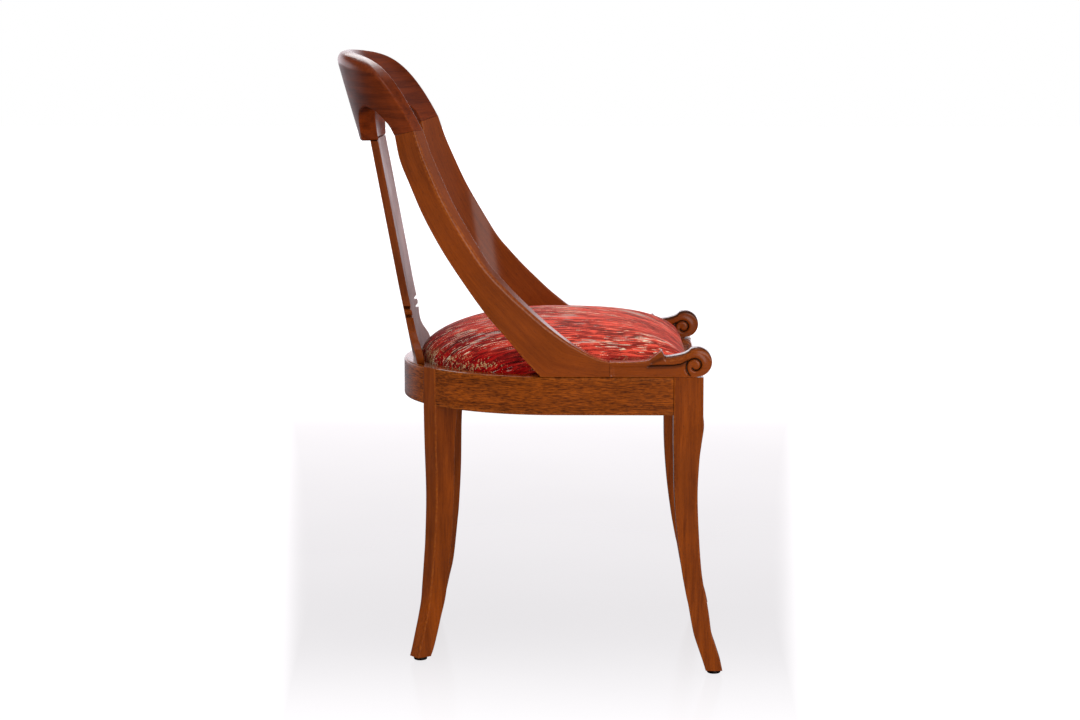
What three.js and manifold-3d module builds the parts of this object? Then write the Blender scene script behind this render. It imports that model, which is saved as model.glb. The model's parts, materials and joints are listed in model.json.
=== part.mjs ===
// A klismos dining chair with a gondola back: a horseshoe seat frame on four sabre legs, two curved
// stiles that sweep down from a wrapped crest rail to carved scrolls, a vase splat and a domed slip seat.
// Millimetres, +Z up. The chair faces -Y, X = 0 is its middle plane, and it stands on Z = 0.
// Inside the build, Y = 0 is the centre of the seat frame's round back; the last lines centre the box.
import * as THREE from "three";
import { mergeVertices } from "three/addons/utils/BufferGeometryUtils.js";
import Module from "manifold-3d";

const wasm = await Module();
wasm.setup();

// Driving dimensions of the seat frame
const fit = 0.3; // play between two wooden faces that meet, and round a dowel, tenon or screw
const seatHalfWidth = 220; // to the outside of the side rails; also the radius of the round back
const seatFrontReach = 203; // from the centre of the round back forward to the front rail's face
const seatTop = 417;
const railHeight = 53;
const railThickness = 32;
const frontRailThickness = 24;
const ledgeDepth = 16; // how deep the seat is let into the frame
const sideRim = 24; // rail top left showing beside the seat
const frontRim = 16;
const wellCorner = 30; // radius of the seat's front corners

// Legs
const frontLegDepth = 41;
const frontLegWidth = 32;
const rearLegDepth = 38;
const rearLegWidth = 31;
const rearLegTurn = 36; // degrees round from straight back
const sabreKick = 29; // how far a foot stands out from its leg's top
const legArris = 1.6;
const glideHeight = 5;
const glideRadius = 9.5;
const glideRim = 1.6;
const nailRadius = 1.4;
const nailLength = 16;

// Joints of the seat frame
const tenonThickness = 10;
const tenonHeight = 26;
const tenonShoulder = 8; // from the rail's underside up to its tenons
const sideTenonLength = 21;
const frontTenonLength = 19;
const rearTenonLength = 12;
const tenonRoot = 4; // how far a tenon's solid runs back into its rail

// The curved back: a shell that leans and wraps round the sitter
const crestTop = 857;
const jointHeight = 756; // where the stiles meet the crest rail
const backOverhang = 96; // how far the crest's outer face stands behind the seat frame at its top
const backLean = 0.29; // run back for each millimetre of rise, in the crest
const stileLean = 0.17; // the same low down in the stiles
const leanEase = 40; // drop over which the one lean passes into the other
const backSweep = 165; // depth of the shell's round corner in plan
const shoulderSpread = 26; // how much wider than the seat the shell is each side at the joints' height
const backCornerPower = 2.15; // 2 is an ellipse, more is squarer
const crestDrawIn = 50; // how far inside the line of that spread the shell lies each side at the crest's top
const crestSlowFall = 0.195; // share of the crest's fall from its middle that comes slowly, as a square
const crestFallPower = 7.4; // the rest comes steeply, close to the joints
const crestThickness = 24;
const backArris = 3;
const seamArris = 0.5;
const tabHalfWidth = 84;
const tabDrop = 48; // how far the crest's tab hangs below its lower edge
const crestBlade = 74; // height of the crest rail beside its tab
const stileFootReach = 74; // forward end of a stile's foot

// Splat
const splatThickness = 11;
const splatArris = 1.4;
const splatTopHalfWidth = 77;
const splatFootInset = 18; // from the back rail's outer face in to the middle of the splat's foot
const splatHeadInset = 6.2; // from the middle of the crest's tab forward to the middle of the splat's head
const splatBow = 700; // radius of the splat's slight curve in plan
const headTenonHalfWidth = 56;
const headTenonThickness = 5;
const headTenonLength = 15;
const footTenonHalfWidth = 46;
const footTenonThickness = 6;
const footTenonLength = 18;

// Scrolls
const scrollReach = 140; // length of a scroll block
const scrollHeight = 41;
const voluteRadius = 20;
const voluteRelief = 1.2;
const voluteBand = 3;
const voluteTurns = 1.7;
const voluteEye = 4.2;

// Dowels and screws
const dowelRadius = 4;
const backDowelRadius = 3;
const dowelDepth = 13; // in each of the two pieces that a dowel joins
const footDowelPlaces = [0.28, 0.72]; // along a stile's foot, as shares of it
const jointDowelPlaces = [0.3, 0.7]; // across a stile at the crest
const screwRadius = 2;
const screwHead = 3.7;
const screwHeadDepth = 3;
const screwTip = 5;
const screwBite = 14; // how deep a block's screw goes into a rail

// Seat
const boardThickness = 12;
const coverThickness = 1.5;
const dustThickness = 0.8;
const hemWidth = 20; // how far the cover is turned under the board
const seatCrown = 69; // top of the dome above the rails
const domePower = 2.05;
const seatDrawIn = 3; // how far the front side pulls in between its corners
const seatEdgeRise = 2;

// Corner blocks
const blockHeight = 28;
const frontBlockLeg = 60;
const rearBlockDepth = 34;
const rearBlockTurn = 15; // degrees each side of the rear leg
const rearScrewTurn = 10;

// Sizes that follow from the driving ones
const ledgeTop = seatTop - ledgeDepth;
const railBottom = seatTop - railHeight;
const tenonMiddle = railBottom + tenonShoulder + tenonHeight / 2;
const innerRadius = seatHalfWidth - railThickness;
const frontRailBack = seatFrontReach - frontRailThickness;
const frontLegBack = seatFrontReach - frontLegDepth;
const frontLegInner = seatHalfWidth - frontLegWidth;
const sideRailMiddle = seatHalfWidth - railThickness / 2;
const rearTurn = THREE.MathUtils.degToRad(rearLegTurn);
const backReach = seatHalfWidth + backOverhang; // outer face of the crest at its top
const splatFootSetback = seatHalfWidth - splatFootInset;
const tabBottom = crestTop - crestBlade - tabDrop;
const boardBottom = ledgeTop + fit + coverThickness + fit;
const boardTop = boardBottom + boardThickness;
const boardInset = fit + coverThickness + fit;
const blockTop = ledgeTop;
const legEnd = glideHeight + fit;
const stileFootThickness = sideRim; // the stiles' feet and the scrolls stand on the rim beside the seat
const scrollWidth = sideRim;
const blockMiddle = blockTop - blockHeight / 2;
const far = 2 * (seatHalfWidth + seatFrontReach); // reach of the tools that part the frame
const overrun = 2; // how far a cut runs past the face that it opens

// How finely the curves are divided
const ringPoints = 56;
const domeSteps = 9;
const arcError = 0.2; // how far a chord may stray from its arc
const roundSegments = 12;
const glideSegments = 12;
const voluteSteps = 34;
const stileSteps = 20;
const crispSteps = 4; // steps of a stile over which its arrises sharpen to the foot's

// Finishes
const timber = (color, roughness) => new THREE.MeshStandardMaterial({ color, roughness, metalness: 0 });
const paleMahogany = timber(0x74340e, 0.3);
const redMahogany = timber(0x5e2814, 0.28);
const goldMahogany = timber(0x7a3f10, 0.3);
const bareBeech = timber(0xc9a77a, 0.75);
const plywood = timber(0xb99a6a, 0.8);
const coralFabric = timber(0xb81f1a, 0.85);
const foam = timber(0xe6dfc8, 0.95);
const blackCloth = timber(0x1c1b1a, 0.95);
const steel = new THREE.MeshStandardMaterial({ color: 0x9a9a98, roughness: 0.35, metalness: 0.9 });
const darkSteel = new THREE.MeshStandardMaterial({ color: 0x2e2926, roughness: 0.45, metalness: 0.8 });

// A geometry as a solid: only its points matter, each shared by the faces round it.
function toSolid(geometry, matrix = new THREE.Matrix4()) {
  const bare = geometry.clone().applyMatrix4(matrix);
  bare.deleteAttribute("normal");
  bare.deleteAttribute("uv");
  const merged = mergeVertices(bare, 1e-4);
  const triVerts = new Uint32Array(merged.index.array);
  const mesh = new wasm.Mesh({ numProp: 3, vertProperties: merged.attributes.position.array, triVerts });
  return new wasm.Manifold(mesh);
}

function toGeometry(solid) {
  const mesh = solid.getMesh();
  const points = new Float32Array(mesh.numVert * 3);
  for (let i = 0; i < mesh.numVert; i++) {
    points.set(mesh.vertProperties.subarray(i * mesh.numProp, i * mesh.numProp + 3), i * 3);
  }
  const geometry = new THREE.BufferGeometry();
  geometry.setAttribute("position", new THREE.BufferAttribute(points, 3));
  geometry.setIndex(new THREE.BufferAttribute(mesh.triVerts, 1));
  return geometry;
}

// Faces given as triples of point numbers, turned round together where they enclose a negative volume.
function closedBody(points, faces) {
  let volume = 0;
  for (const [a, b, c] of faces) {
    volume += points[a].dot(new THREE.Vector3().crossVectors(points[b], points[c]));
  }
  const index = faces.flatMap(([a, b, c]) => (volume < 0 ? [a, c, b] : [a, b, c]));
  const geometry = new THREE.BufferGeometry();
  geometry.setAttribute("position", new THREE.Float32BufferAttribute(points.flatMap((p) => p.toArray()), 3));
  geometry.setIndex(index);
  return geometry;
}

// A bar through sections. Each section is a loop whose first half runs along one side and whose second
// half runs back along the other, so the two ends close as strips between the sides.
function bar(sections) {
  const count = sections[0].length;
  const faces = [];
  for (let s = 0; s + 1 < sections.length; s++) {
    for (let i = 0; i < count; i++) {
      const a = s * count + i;
      const b = s * count + ((i + 1) % count);
      faces.push([a, b, a + count], [b, b + count, a + count]);
    }
  }
  const last = (sections.length - 1) * count;
  for (let i = 0; i + 1 < count / 2; i++) {
    const [a, b, c, d] = [i, i + 1, count - 2 - i, count - 1 - i];
    faces.push([a, c, b], [a, d, c]);
    faces.push([last + a, last + b, last + c], [last + a, last + c, last + d]);
  }
  return closedBody(sections.flat(), faces);
}

// A skin through rings, closed by a point at each end.
function skin(start, rings, end) {
  const count = rings[0].length;
  const points = [start, ...rings.flat(), end];
  const faces = [];
  for (let i = 0; i < count; i++) {
    const j = (i + 1) % count;
    const lastRing = 1 + (rings.length - 1) * count;
    faces.push([0, 1 + j, 1 + i], [points.length - 1, lastRing + i, lastRing + j]);
    for (let r = 0; r + 1 < rings.length; r++) {
      const a = 1 + r * count;
      faces.push([a + i, a + j, a + count + i], [a + j, a + count + j, a + count + i]);
    }
  }
  return closedBody(points, faces);
}

// A shape with its arcs divided into chords, no finer than they need.
function divided(shape) {
  shape.closePath();
  const points = shape.curves.flatMap((curve) => {
    if (!curve.isEllipseCurve) return [curve.getPoint(0)];
    const step = 2 * Math.acos(1 - arcError / curve.xRadius);
    const count = Math.ceil(Math.abs(curve.aEndAngle - curve.aStartAngle) / step);
    return Array.from({ length: count }, (_, i) => curve.getPoint(i / count));
  });
  return new THREE.Shape(points);
}

const extruded = (shape, depth) =>
  new THREE.ExtrudeGeometry(divided(shape), { depth, bevelEnabled: false });

// A flat shape in plan, made into a slab between two heights.
function slab(shape, bottom, top) {
  return extruded(shape, top - bottom).translate(0, 0, bottom);
}

const polygon = (corners) => new THREE.Shape(corners.map(([x, y]) => new THREE.Vector2(x, y)));

function boxBetween(low, high) {
  const size = high.clone().sub(low);
  const middle = low.clone().add(high).multiplyScalar(0.5);
  return new THREE.BoxGeometry(size.x, size.y, size.z).translate(middle.x, middle.y, middle.z);
}

// A round pin from one point to another.
function pin(from, to, radius) {
  const axis = to.clone().sub(from);
  const geometry = new THREE.CylinderGeometry(radius, radius, axis.length(), roundSegments);
  const turn = new THREE.Quaternion().setFromUnitVectors(new THREE.Vector3(0, 1, 0), axis.normalize());
  const middle = from.clone().add(to).multiplyScalar(0.5);
  return { geometry, seat: new THREE.Matrix4().compose(middle, turn, new THREE.Vector3(1, 1, 1)) };
}

// A countersunk screw whose head lies at one point and whose tip points along a direction.
function screw(head, direction, length, slack) {
  const profile = [
    [0, -slack],
    [screwHead + slack, -slack],
    [screwRadius + slack, screwHeadDepth],
    [screwRadius + slack, length - screwTip],
    [0, length + slack],
  ];
  const points = profile.map(([x, y]) => new THREE.Vector2(x, y));
  const geometry = new THREE.LatheGeometry(points, roundSegments);
  const turn = new THREE.Quaternion().setFromUnitVectors(new THREE.Vector3(0, 1, 0), direction);
  return { geometry, seat: new THREE.Matrix4().compose(head, turn, new THREE.Vector3(1, 1, 1)) };
}

const chair = new THREE.Group();

// Puts a body, worked out in the chair's frame, into the chair as a mesh that stands at its own seat.
function place(name, solid, material, seat) {
  const mesh = new THREE.Mesh(toGeometry(solid).applyMatrix4(seat.clone().invert()), material.clone());
  mesh.name = name;
  mesh.applyMatrix4(seat);
  chair.add(mesh);
}

const at = (x, y, z) => new THREE.Matrix4().makeTranslation(x, y, z);
const sides = [
  ["right", -1],
  ["left", 1],
];

// Mirroring turns a body inside out, so its faces are turned back.
function onSide(geometry, side) {
  if (side === 1) return geometry;
  const turned = geometry.index ? geometry.clone() : mergeVertices(geometry);
  turned.applyMatrix4(new THREE.Matrix4().makeScale(-1, 1, 1));
  const order = turned.index.array;
  for (let i = 0; i < order.length; i += 3) {
    [order[i + 1], order[i + 2]] = [order[i + 2], order[i + 1]];
  }
  return turned;
}

// A solid with holes for parts that are given as a geometry and its seat.
function drilled(solid, parts) {
  return parts.reduce((left, { geometry, seat }) => left.subtract(toSolid(geometry, seat)), solid);
}

// Seat frame in plan

// The horseshoe of the seat, drawn in from the frame's outside by one amount at the sides and back and
// by another at the front.
function horseshoe(sideInset, frontInset, corner) {
  const half = seatHalfWidth - sideInset;
  const front = -(seatFrontReach - frontInset);
  const shape = new THREE.Shape();
  shape.moveTo(corner - half, front);
  shape.lineTo(half - corner, front);
  if (corner > 0) shape.absarc(half - corner, front + corner, corner, -Math.PI / 2, 0, false);
  shape.lineTo(half, 0);
  shape.absarc(0, 0, half, 0, Math.PI, false);
  shape.lineTo(-half, front + corner);
  if (corner > 0) shape.absarc(corner - half, front + corner, corner, Math.PI, 1.5 * Math.PI, false);
  return shape;
}

const seatWell = toSolid(slab(horseshoe(sideRim, frontRim, wellCorner), ledgeTop, seatTop + overrun));

// The rails as one horseshoe, before it is parted between the legs.
function railRing() {
  const outside = toSolid(slab(horseshoe(0, 0, 0), railBottom, seatTop));
  const inside = slab(
    horseshoe(railThickness, frontRailThickness, 0),
    railBottom - overrun,
    seatTop + overrun,
  );
  return outside.subtract(toSolid(inside)).subtract(seatWell);
}

// Frame of a rear leg: -Y points out along its radius, X runs along its width.
const rearLegSeat = (side) => {
  const turn = Math.PI - side * rearTurn;
  const spin = new THREE.Matrix4().makeRotationZ(turn);
  const radius = seatHalfWidth;
  return at(side * radius * Math.sin(rearTurn), radius * Math.cos(rearTurn), 0).multiply(spin);
};
const frontLegSeat = (side) => at(side * (seatHalfWidth - frontLegWidth / 2), -seatFrontReach, 0);

// Room that a leg takes through the rails, with the play beside it.
function legSlot(seat, width, depth) {
  const half = width / 2 + fit;
  const low = new THREE.Vector3(-half, -seatHalfWidth / 2, railBottom - overrun);
  const high = new THREE.Vector3(half, depth + fit, seatTop + overrun);
  return toSolid(boxBetween(low, high), seat);
}

// A tenon on the X axis of a leg's frame: from one place to another across, centred at a depth.
function tenon(seat, from, to, depth, slack) {
  const low = new THREE.Vector3(
    Math.min(from, to) - slack,
    depth - tenonThickness / 2 - slack,
    tenonMiddle - tenonHeight / 2 - slack,
  );
  const high = new THREE.Vector3(
    Math.max(from, to) + slack,
    depth + tenonThickness / 2 + slack,
    tenonMiddle + tenonHeight / 2 + slack,
  );
  return toSolid(boxBetween(low, high), seat);
}

// The two tenons in a rear leg, told apart by which way along its width they come from.
const rearTenon = (side, way, slack) =>
  tenon(
    rearLegSeat(side),
    way * (rearLegWidth / 2 - rearTenonLength),
    way * (rearLegWidth / 2 + fit + tenonRoot),
    railThickness / 2,
    slack,
  );

function sideTenon(side, slack) {
  const x = side * sideRailMiddle;
  const half = tenonThickness / 2 + slack;
  const low = new THREE.Vector3(
    x - half,
    -frontLegBack - sideTenonLength - slack,
    tenonMiddle - tenonHeight / 2 - slack,
  );
  const high = new THREE.Vector3(
    x + half,
    fit + tenonRoot - frontLegBack,
    tenonMiddle + tenonHeight / 2 + slack,
  );
  return toSolid(boxBetween(low, high));
}

const frontTenon = (side, slack) =>
  tenon(
    at(0, -seatFrontReach, 0),
    side * (frontLegInner - fit - tenonRoot),
    side * (frontLegInner + frontTenonLength),
    frontRailThickness / 2,
    slack,
  );

// Which side of a rear leg, along its own X, a rail's tenon comes from
const towardSide = -1;
const towardBack = 1;

const ring = railRing();
const rearDirection = (side) => [side * far * Math.sin(rearTurn), far * Math.cos(rearTurn)];

// Legs

// Down a leg, from under the rail to its end above the glide: height, how far the outer face stands out as
// a share of the kick, depth and width as shares of those at the top.
const frontLegShares = [
  [1, 0, 1, 1],
  [0.953, 0.03, 1.02, 1],
  [0.886, -0.08, 0.94, 0.98],
  [0.822, -0.17, 0.86, 0.96],
  [0.693, -0.24, 0.785, 0.91],
  [0.543, -0.17, 0.735, 0.86],
  [0.395, -0.03, 0.665, 0.81],
  [0.3, 0.1, 0.62, 0.78],
  [0.214, 0.31, 0.61, 0.75],
  [0.147, 0.48, 0.61, 0.73],
  [0.094, 0.69, 0.61, 0.715],
  [0.041, 0.9, 0.6, 0.7],
  [0, 1.03, 0.565, 0.69],
];
const rearLegShares = [
  [1, 0, 1, 1],
  [0.975, 0, 1, 1],
  [0.835, -0.03, 0.87, 0.97],
  [0.638, -0.085, 0.8, 0.92],
  [0.47, 0, 0.776, 0.86],
  [0.387, 0.086, 0.757, 0.83],
  [0.278, 0.22, 0.737, 0.79],
  [0.217, 0.3, 0.7, 0.77],
  [0.153, 0.47, 0.66, 0.75],
  [0.1, 0.64, 0.66, 0.735],
  [0.035, 0.85, 0.64, 0.72],
  [0, 0.98, 0.605, 0.71],
];

// A leg in its own frame: the outer face at the top lies on Y = 0 and the leg runs inward along +Y. It
// tapers evenly in width, or with one side kept flush where flush is that side's sign.
function leg(shares, depth, width, flush) {
  const rows = shares.map(([height, reach, deep, wide]) => [
    THREE.MathUtils.lerp(legEnd, railBottom, height),
    sabreKick * reach,
    depth * deep,
    width * wide,
  ]);
  const sections = [[seatTop, 0, depth, width], ...rows].map(([z, reach, deep, wide]) => {
    const middle = (flush * (width - wide)) / 2;
    const [left, right] = [middle - wide / 2, middle + wide / 2];
    const [outer, inner] = [-reach, deep - reach];
    return [
      [left, outer + legArris],
      [left + legArris, outer],
      [right - legArris, outer],
      [right, outer + legArris],
      [right, inner - legArris],
      [right - legArris, inner],
      [left + legArris, inner],
      [left, inner - legArris],
    ].map(([x, y]) => new THREE.Vector3(x, y, z));
  });
  return bar(sections);
}

// The place on the floor under the middle of a leg's end, where its glide stands.
function footPlace(seat, shares, depth, width, flush) {
  const [, reach, deep, wide] = shares.at(-1);
  const x = (flush * width * (1 - wide)) / 2;
  const y = (depth * deep) / 2 - sabreKick * reach;
  const foot = new THREE.Vector3(x, y, 0).applyMatrix4(seat);
  return at(foot.x, foot.y, 0);
}

const frontFoot = (side) =>
  footPlace(frontLegSeat(side), frontLegShares, frontLegDepth, frontLegWidth, side);
const rearFoot = (side) => footPlace(rearLegSeat(side), rearLegShares, rearLegDepth, rearLegWidth, 0);

// A glide: a domed steel button on a nail.
function glide(slack) {
  const profile = [
    [0, -slack],
    [glideRadius - glideRim, -slack],
    [glideRadius, glideRim],
    [glideRadius, glideHeight - glideRim],
    [glideRadius - glideRim, glideHeight],
    [nailRadius + slack, glideHeight],
    [nailRadius + slack, glideHeight + nailLength - nailRadius],
    [0, glideHeight + nailLength + slack],
  ];
  const points = profile.map(([x, y]) => new THREE.Vector2(x, y));
  return new THREE.LatheGeometry(points, glideSegments).rotateX(Math.PI / 2);
}

function frontLeg(side) {
  const seat = frontLegSeat(side);
  const [, legDowel] = scrollDowelPins(side, fit);
  return toSolid(leg(frontLegShares, frontLegDepth, frontLegWidth, side), seat)
    .subtract(sideTenon(side, fit))
    .subtract(frontTenon(side, fit))
    .subtract(seatWell)
    .subtract(toSolid(legDowel.geometry, legDowel.seat))
    .subtract(toSolid(glide(fit), frontFoot(side)));
}

function rearLeg(side) {
  return toSolid(leg(rearLegShares, rearLegDepth, rearLegWidth, 0), rearLegSeat(side))
    .subtract(rearTenon(side, side * towardSide, fit))
    .subtract(rearTenon(side, side * towardBack, fit))
    .subtract(seatWell)
    .subtract(toSolid(glide(fit), rearFoot(side)));
}

// Rails

function sideRail(side) {
  const [x, y] = rearDirection(side);
  const region = polygon([
    [0, 0],
    [x, y],
    [side * far, y],
    [side * far, fit - frontLegBack],
    [0, fit - frontLegBack],
  ]);
  const rail = ring
    .intersect(toSolid(slab(region, railBottom - overrun, seatTop + overrun)))
    .subtract(legSlot(rearLegSeat(side), rearLegWidth, rearLegDepth))
    .add(rearTenon(side, side * towardSide, 0))
    .add(sideTenon(side, 0));
  const [railDowel] = scrollDowelPins(side, fit);
  return drilled(rail, [...footDowelPins(side, fit), railDowel]);
}

function backRail() {
  const [x, y] = rearDirection(1);
  const region = polygon([
    [0, 0],
    [x, y],
    [-x, y],
  ]);
  let rail = ring.intersect(toSolid(slab(region, railBottom - overrun, seatTop + overrun)));
  for (const [, side] of sides) {
    rail = rail
      .subtract(legSlot(rearLegSeat(side), rearLegWidth, rearLegDepth))
      .add(rearTenon(side, side * towardBack, 0));
  }
  return rail.subtract(splatTenon(seatTop, -footTenonLength, fit));
}

function frontRail() {
  const half = frontLegInner - fit;
  const low = new THREE.Vector3(-half, -seatFrontReach, railBottom);
  const high = new THREE.Vector3(half, -frontRailBack, seatTop);
  return toSolid(boxBetween(low, high))
    .subtract(seatWell)
    .add(frontTenon(1, 0))
    .add(frontTenon(-1, 0));
}

// The curved back

// Outer face of the back on the middle plane at a height, before it wraps forward.
function backSetback(height) {
  const drop = Math.max(jointHeight - height, 0);
  const eased = (backLean - stileLean) * leanEase * (1 - Math.exp(-drop / leanEase));
  return backReach - (crestTop - Math.max(height, jointHeight)) * backLean - drop * stileLean - eased;
}

// Half the shell's width at a height. It spreads evenly, and above the joints it bends in again.
function shellHalfWidth(height) {
  const spread = (shoulderSpread * (height - seatTop)) / (jointHeight - seatTop);
  const above = Math.max(height - jointHeight, 0) / (crestTop - jointHeight);
  return seatHalfWidth + spread - crestDrawIn * above ** 2;
}

// A point of the back. Turn runs round the shell in plan: 0 on the middle plane, 1 where the round corner
// ends, and on from there straight forward, one for each depth of the corner. Share is the depth into the
// wood: 0 on the outer face and 1 on the inner one.
function shellPoint(turn, height, share, side) {
  const angle = (Math.min(turn, 1) * Math.PI) / 2;
  const across = Math.sin(angle) ** (2 / backCornerPower);
  const along = Math.cos(angle) ** (2 / backCornerPower);
  const rise = (height - seatTop) / (jointHeight - seatTop);
  const straight = Math.max(turn - 1, 0);
  const normal = new THREE.Vector2(
    across ** (backCornerPower - 1) / seatHalfWidth,
    along ** (backCornerPower - 1) / backSweep,
  ).normalize();
  const thickness = stileFootThickness + (crestThickness - stileFootThickness) * Math.min(rise, 1);
  const x = shellHalfWidth(height) * across - thickness * share * normal.x;
  const y = backSetback(height) - backSweep * (1 - along + straight) - thickness * share * normal.y;
  return new THREE.Vector3(side * x, y, height);
}

// The turn at which the shell's outer face reaches a place along Y at a height.
function turnAt(y, height) {
  const swept = (backSetback(height) - y) / backSweep;
  if (swept >= 1) return swept;
  return (2 / Math.PI) * Math.acos((1 - Math.max(swept, 0)) ** (backCornerPower / 2));
}

// A section of the shell between two edges, each given as turn and height, with softened arrises.
function shellSection(back, front, side, arris = backArris) {
  const width = shellPoint(...back, 0.5, side).distanceTo(shellPoint(...front, 0.5, side));
  const soft = arris / width;
  const deep = arris / crestThickness;
  const across = [soft, 1 / 3, 2 / 3, 1 - soft];
  const loop = [
    [0, deep],
    ...across.map((a) => [a, 0]),
    [1, deep],
    [1, 1 - deep],
    ...across.map((a) => [1 - a, 1]),
    [0, 1 - deep],
  ];
  return loop.map(([a, share]) => {
    const turn = THREE.MathUtils.lerp(back[0], front[0], a);
    const height = THREE.MathUtils.lerp(back[1], front[1], a);
    return shellPoint(turn, height, share, side);
  });
}

// Where the edges of the back run at the joint, as shares of the corner's depth and of the joint's height.
const jointBackShares = [0.408, 0.976];
const jointFrontShares = [0.575, 0.993];

// A stile from its joint down to its foot, seen from the side: height of the back edge as a share of the
// joint's height over the seat, its reach from the foot's front end as a share of the joint's reach, and
// the same for the front edge.
const stileShares = [
  [0.87, 0.964, 0.9, 0.869],
  [0.771, 0.916, 0.805, 0.824],
  [0.651, 0.858, 0.694, 0.763],
  [0.518, 0.776, 0.567, 0.674],
  [0.391, 0.681, 0.455, 0.586],
  [0.259, 0.579, 0.354, 0.48],
  [0.157, 0.48, 0.268, 0.374],
  [0.068, 0.395, 0.198, 0.28],
  [0, 0.321, 0.136, 0.184],
];
const stileFootShares = [
  [0, 0.212, 0.094, 0.102],
  [0, 0.1, 0.072, 0.048],
  [0, 0, 0.06, 0],
];

// An edge of the shell as turn and height, at a height share and a reach share.
function edgeAt(heightShare, reachShare) {
  const height = seatTop + fit + heightShare * (jointHeight - seatTop - fit);
  const jointReach = backSetback(jointHeight) - jointBackShares[0] * backSweep + stileFootReach;
  return [turnAt(reachShare * jointReach - stileFootReach, height), height];
}

// An edge at the joint: how far the shell has swept forward there, and the height.
function jointEdge([sweepShare, heightShare]) {
  const height = seatTop + heightShare * (jointHeight - seatTop);
  return [turnAt(backSetback(height) - sweepShare * backSweep, height), height];
}
const jointBack = jointEdge(jointBackShares);
const jointFront = jointEdge(jointFrontShares);

// The stile's edges and arris, smoothed between its stations down to where the back edge meets the rail.
// The foot's arrises are crisp, so that it sits close on the rail.
function stileStations() {
  const edges = (column) => [
    column === 0 ? jointBack : jointFront,
    ...stileShares.map((row) => edgeAt(row[column], row[column + 1])),
  ];
  const smooth = (points) =>
    new THREE.SplineCurve(points.map(([turn, height]) => new THREE.Vector2(turn, height)))
      .getPoints(stileSteps)
      .map((p) => p.toArray());
  const back = smooth(edges(0));
  const front = smooth(edges(2));
  const foot = stileFootShares.map((row) => [edgeAt(row[0], row[1]), edgeAt(row[2], row[3]), seamArris]);
  const blade = back.map((edge, i) => {
    const toFoot = Math.max(0, 1 - (stileSteps - i) / crispSteps);
    return [edge, front[i], THREE.MathUtils.lerp(backArris, seamArris, toFoot)];
  });
  return [...blade, ...foot];
}

// Half of the play at the joint is taken off each piece, along the stile.
function clearOfJoint(edge, way) {
  return [edge[0], edge[1] + (way * fit) / 2];
}

// Two dowels across the joint of a stile and the crest.
function jointDowelPins(side, slack) {
  const [backHeight, backSpread, frontHeight, frontSpread] = stileShares[0];
  const next = [edgeAt(backHeight, backSpread), edgeAt(frontHeight, frontSpread)];
  return jointDowelPlaces.map((across) => {
    const mix = (a, b) => [
      THREE.MathUtils.lerp(a[0], b[0], across),
      THREE.MathUtils.lerp(a[1], b[1], across),
    ];
    const joint = shellPoint(...mix(jointBack, jointFront), 0.5, side);
    const below = shellPoint(...mix(...next), 0.5, side);
    const along = below.sub(joint).normalize().multiplyScalar(dowelDepth + slack);
    return pin(joint.clone().sub(along), joint.clone().add(along), backDowelRadius + slack);
  });
}

// Upright dowels under a stile's foot, and under a scroll block: one in the rail, one in the leg.
function uprightDowel(x, y, slack) {
  const low = new THREE.Vector3(x, y, seatTop - dowelDepth - slack);
  const high = new THREE.Vector3(x, y, seatTop + fit + dowelDepth + slack);
  return pin(low, high, dowelRadius + slack);
}

function footDowelPins(side, slack) {
  const x = side * (seatHalfWidth - stileFootThickness / 2);
  const heel = footHeel();
  return footDowelPlaces.map((share) =>
    uprightDowel(x, THREE.MathUtils.lerp(heel, -stileFootReach, share), slack),
  );
}

// Where a stile's back edge comes down on the rail.
function footHeel() {
  const jointReach = backSetback(jointHeight) - jointBackShares[0] * backSweep + stileFootReach;
  return stileShares.at(-1)[1] * jointReach - stileFootReach;
}

function scrollDowelPins(side, slack) {
  const x = side * (seatHalfWidth - scrollWidth / 2);
  const inRail = -(stileFootReach + frontLegBack) / 2;
  const inLeg = -(frontLegBack + seatFrontReach) / 2;
  return [uprightDowel(x, inRail, slack), uprightDowel(x, inLeg, slack)];
}

// The crest from a joint towards its tab: how far round its lower edge is, as a share of the joint's turn,
// how far that edge has risen from the joint, and how far round its upper edge is.
const crestShares = [
  [0.97, 0.38, 0.984],
  [0.93, 0.58, 0.947],
  [0.88, 0.78, 0.91],
  [0.825, 0.92, 0.86],
  [0.76, 0.98, 0.79],
  [0.7, 1, 0.7],
];

// The tab that takes the splat's head: how far out from the middle as a share of its half-width, and the
// lower edge as a share of the drop.
const tabShares = [
  [1.73, 0.03],
  [1.52, 0.15],
  [1.36, 0.32],
  [1.2, 0.55],
  [1.08, 0.74],
  [1.02, 0.86],
  [0.99, 0.94],
  [0.94, 0.99],
  [0.86, 1],
  [0.5, 1],
  [0, 1],
];

// The turn at which the outer face stands a half-width out from the middle plane, at a height.
function turnOut(halfWidth, height) {
  const across = (halfWidth / shellHalfWidth(height)) ** (backCornerPower / 2);
  return (2 / Math.PI) * Math.asin(Math.min(across, 1));
}

// The upper edge falls from its middle to the joints.
function crestTopEdge(turn) {
  const share = turn / jointFront[0];
  const fall = crestSlowFall * share ** 2 + (1 - crestSlowFall) * share ** crestFallPower;
  return [turn, THREE.MathUtils.lerp(crestTop, jointFront[1], fall)];
}

function crestStations() {
  const lowerEdge = crestTop - crestBlade;
  const wing = crestShares.map(([lowTurn, low, highTurn]) => [
    [lowTurn * jointBack[0], THREE.MathUtils.lerp(jointBack[1], lowerEdge, low)],
    crestTopEdge(highTurn * jointFront[0]),
  ]);
  const tab = tabShares.map(([out, drop]) => {
    const height = lowerEdge - drop * tabDrop;
    const top = crestTopEdge(turnOut(out * tabHalfWidth, crestTop));
    return [[turnOut(out * tabHalfWidth, height), height], top];
  });
  return [[clearOfJoint(jointBack, 1), clearOfJoint(jointFront, 1)], ...wing, ...tab];
}

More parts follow.
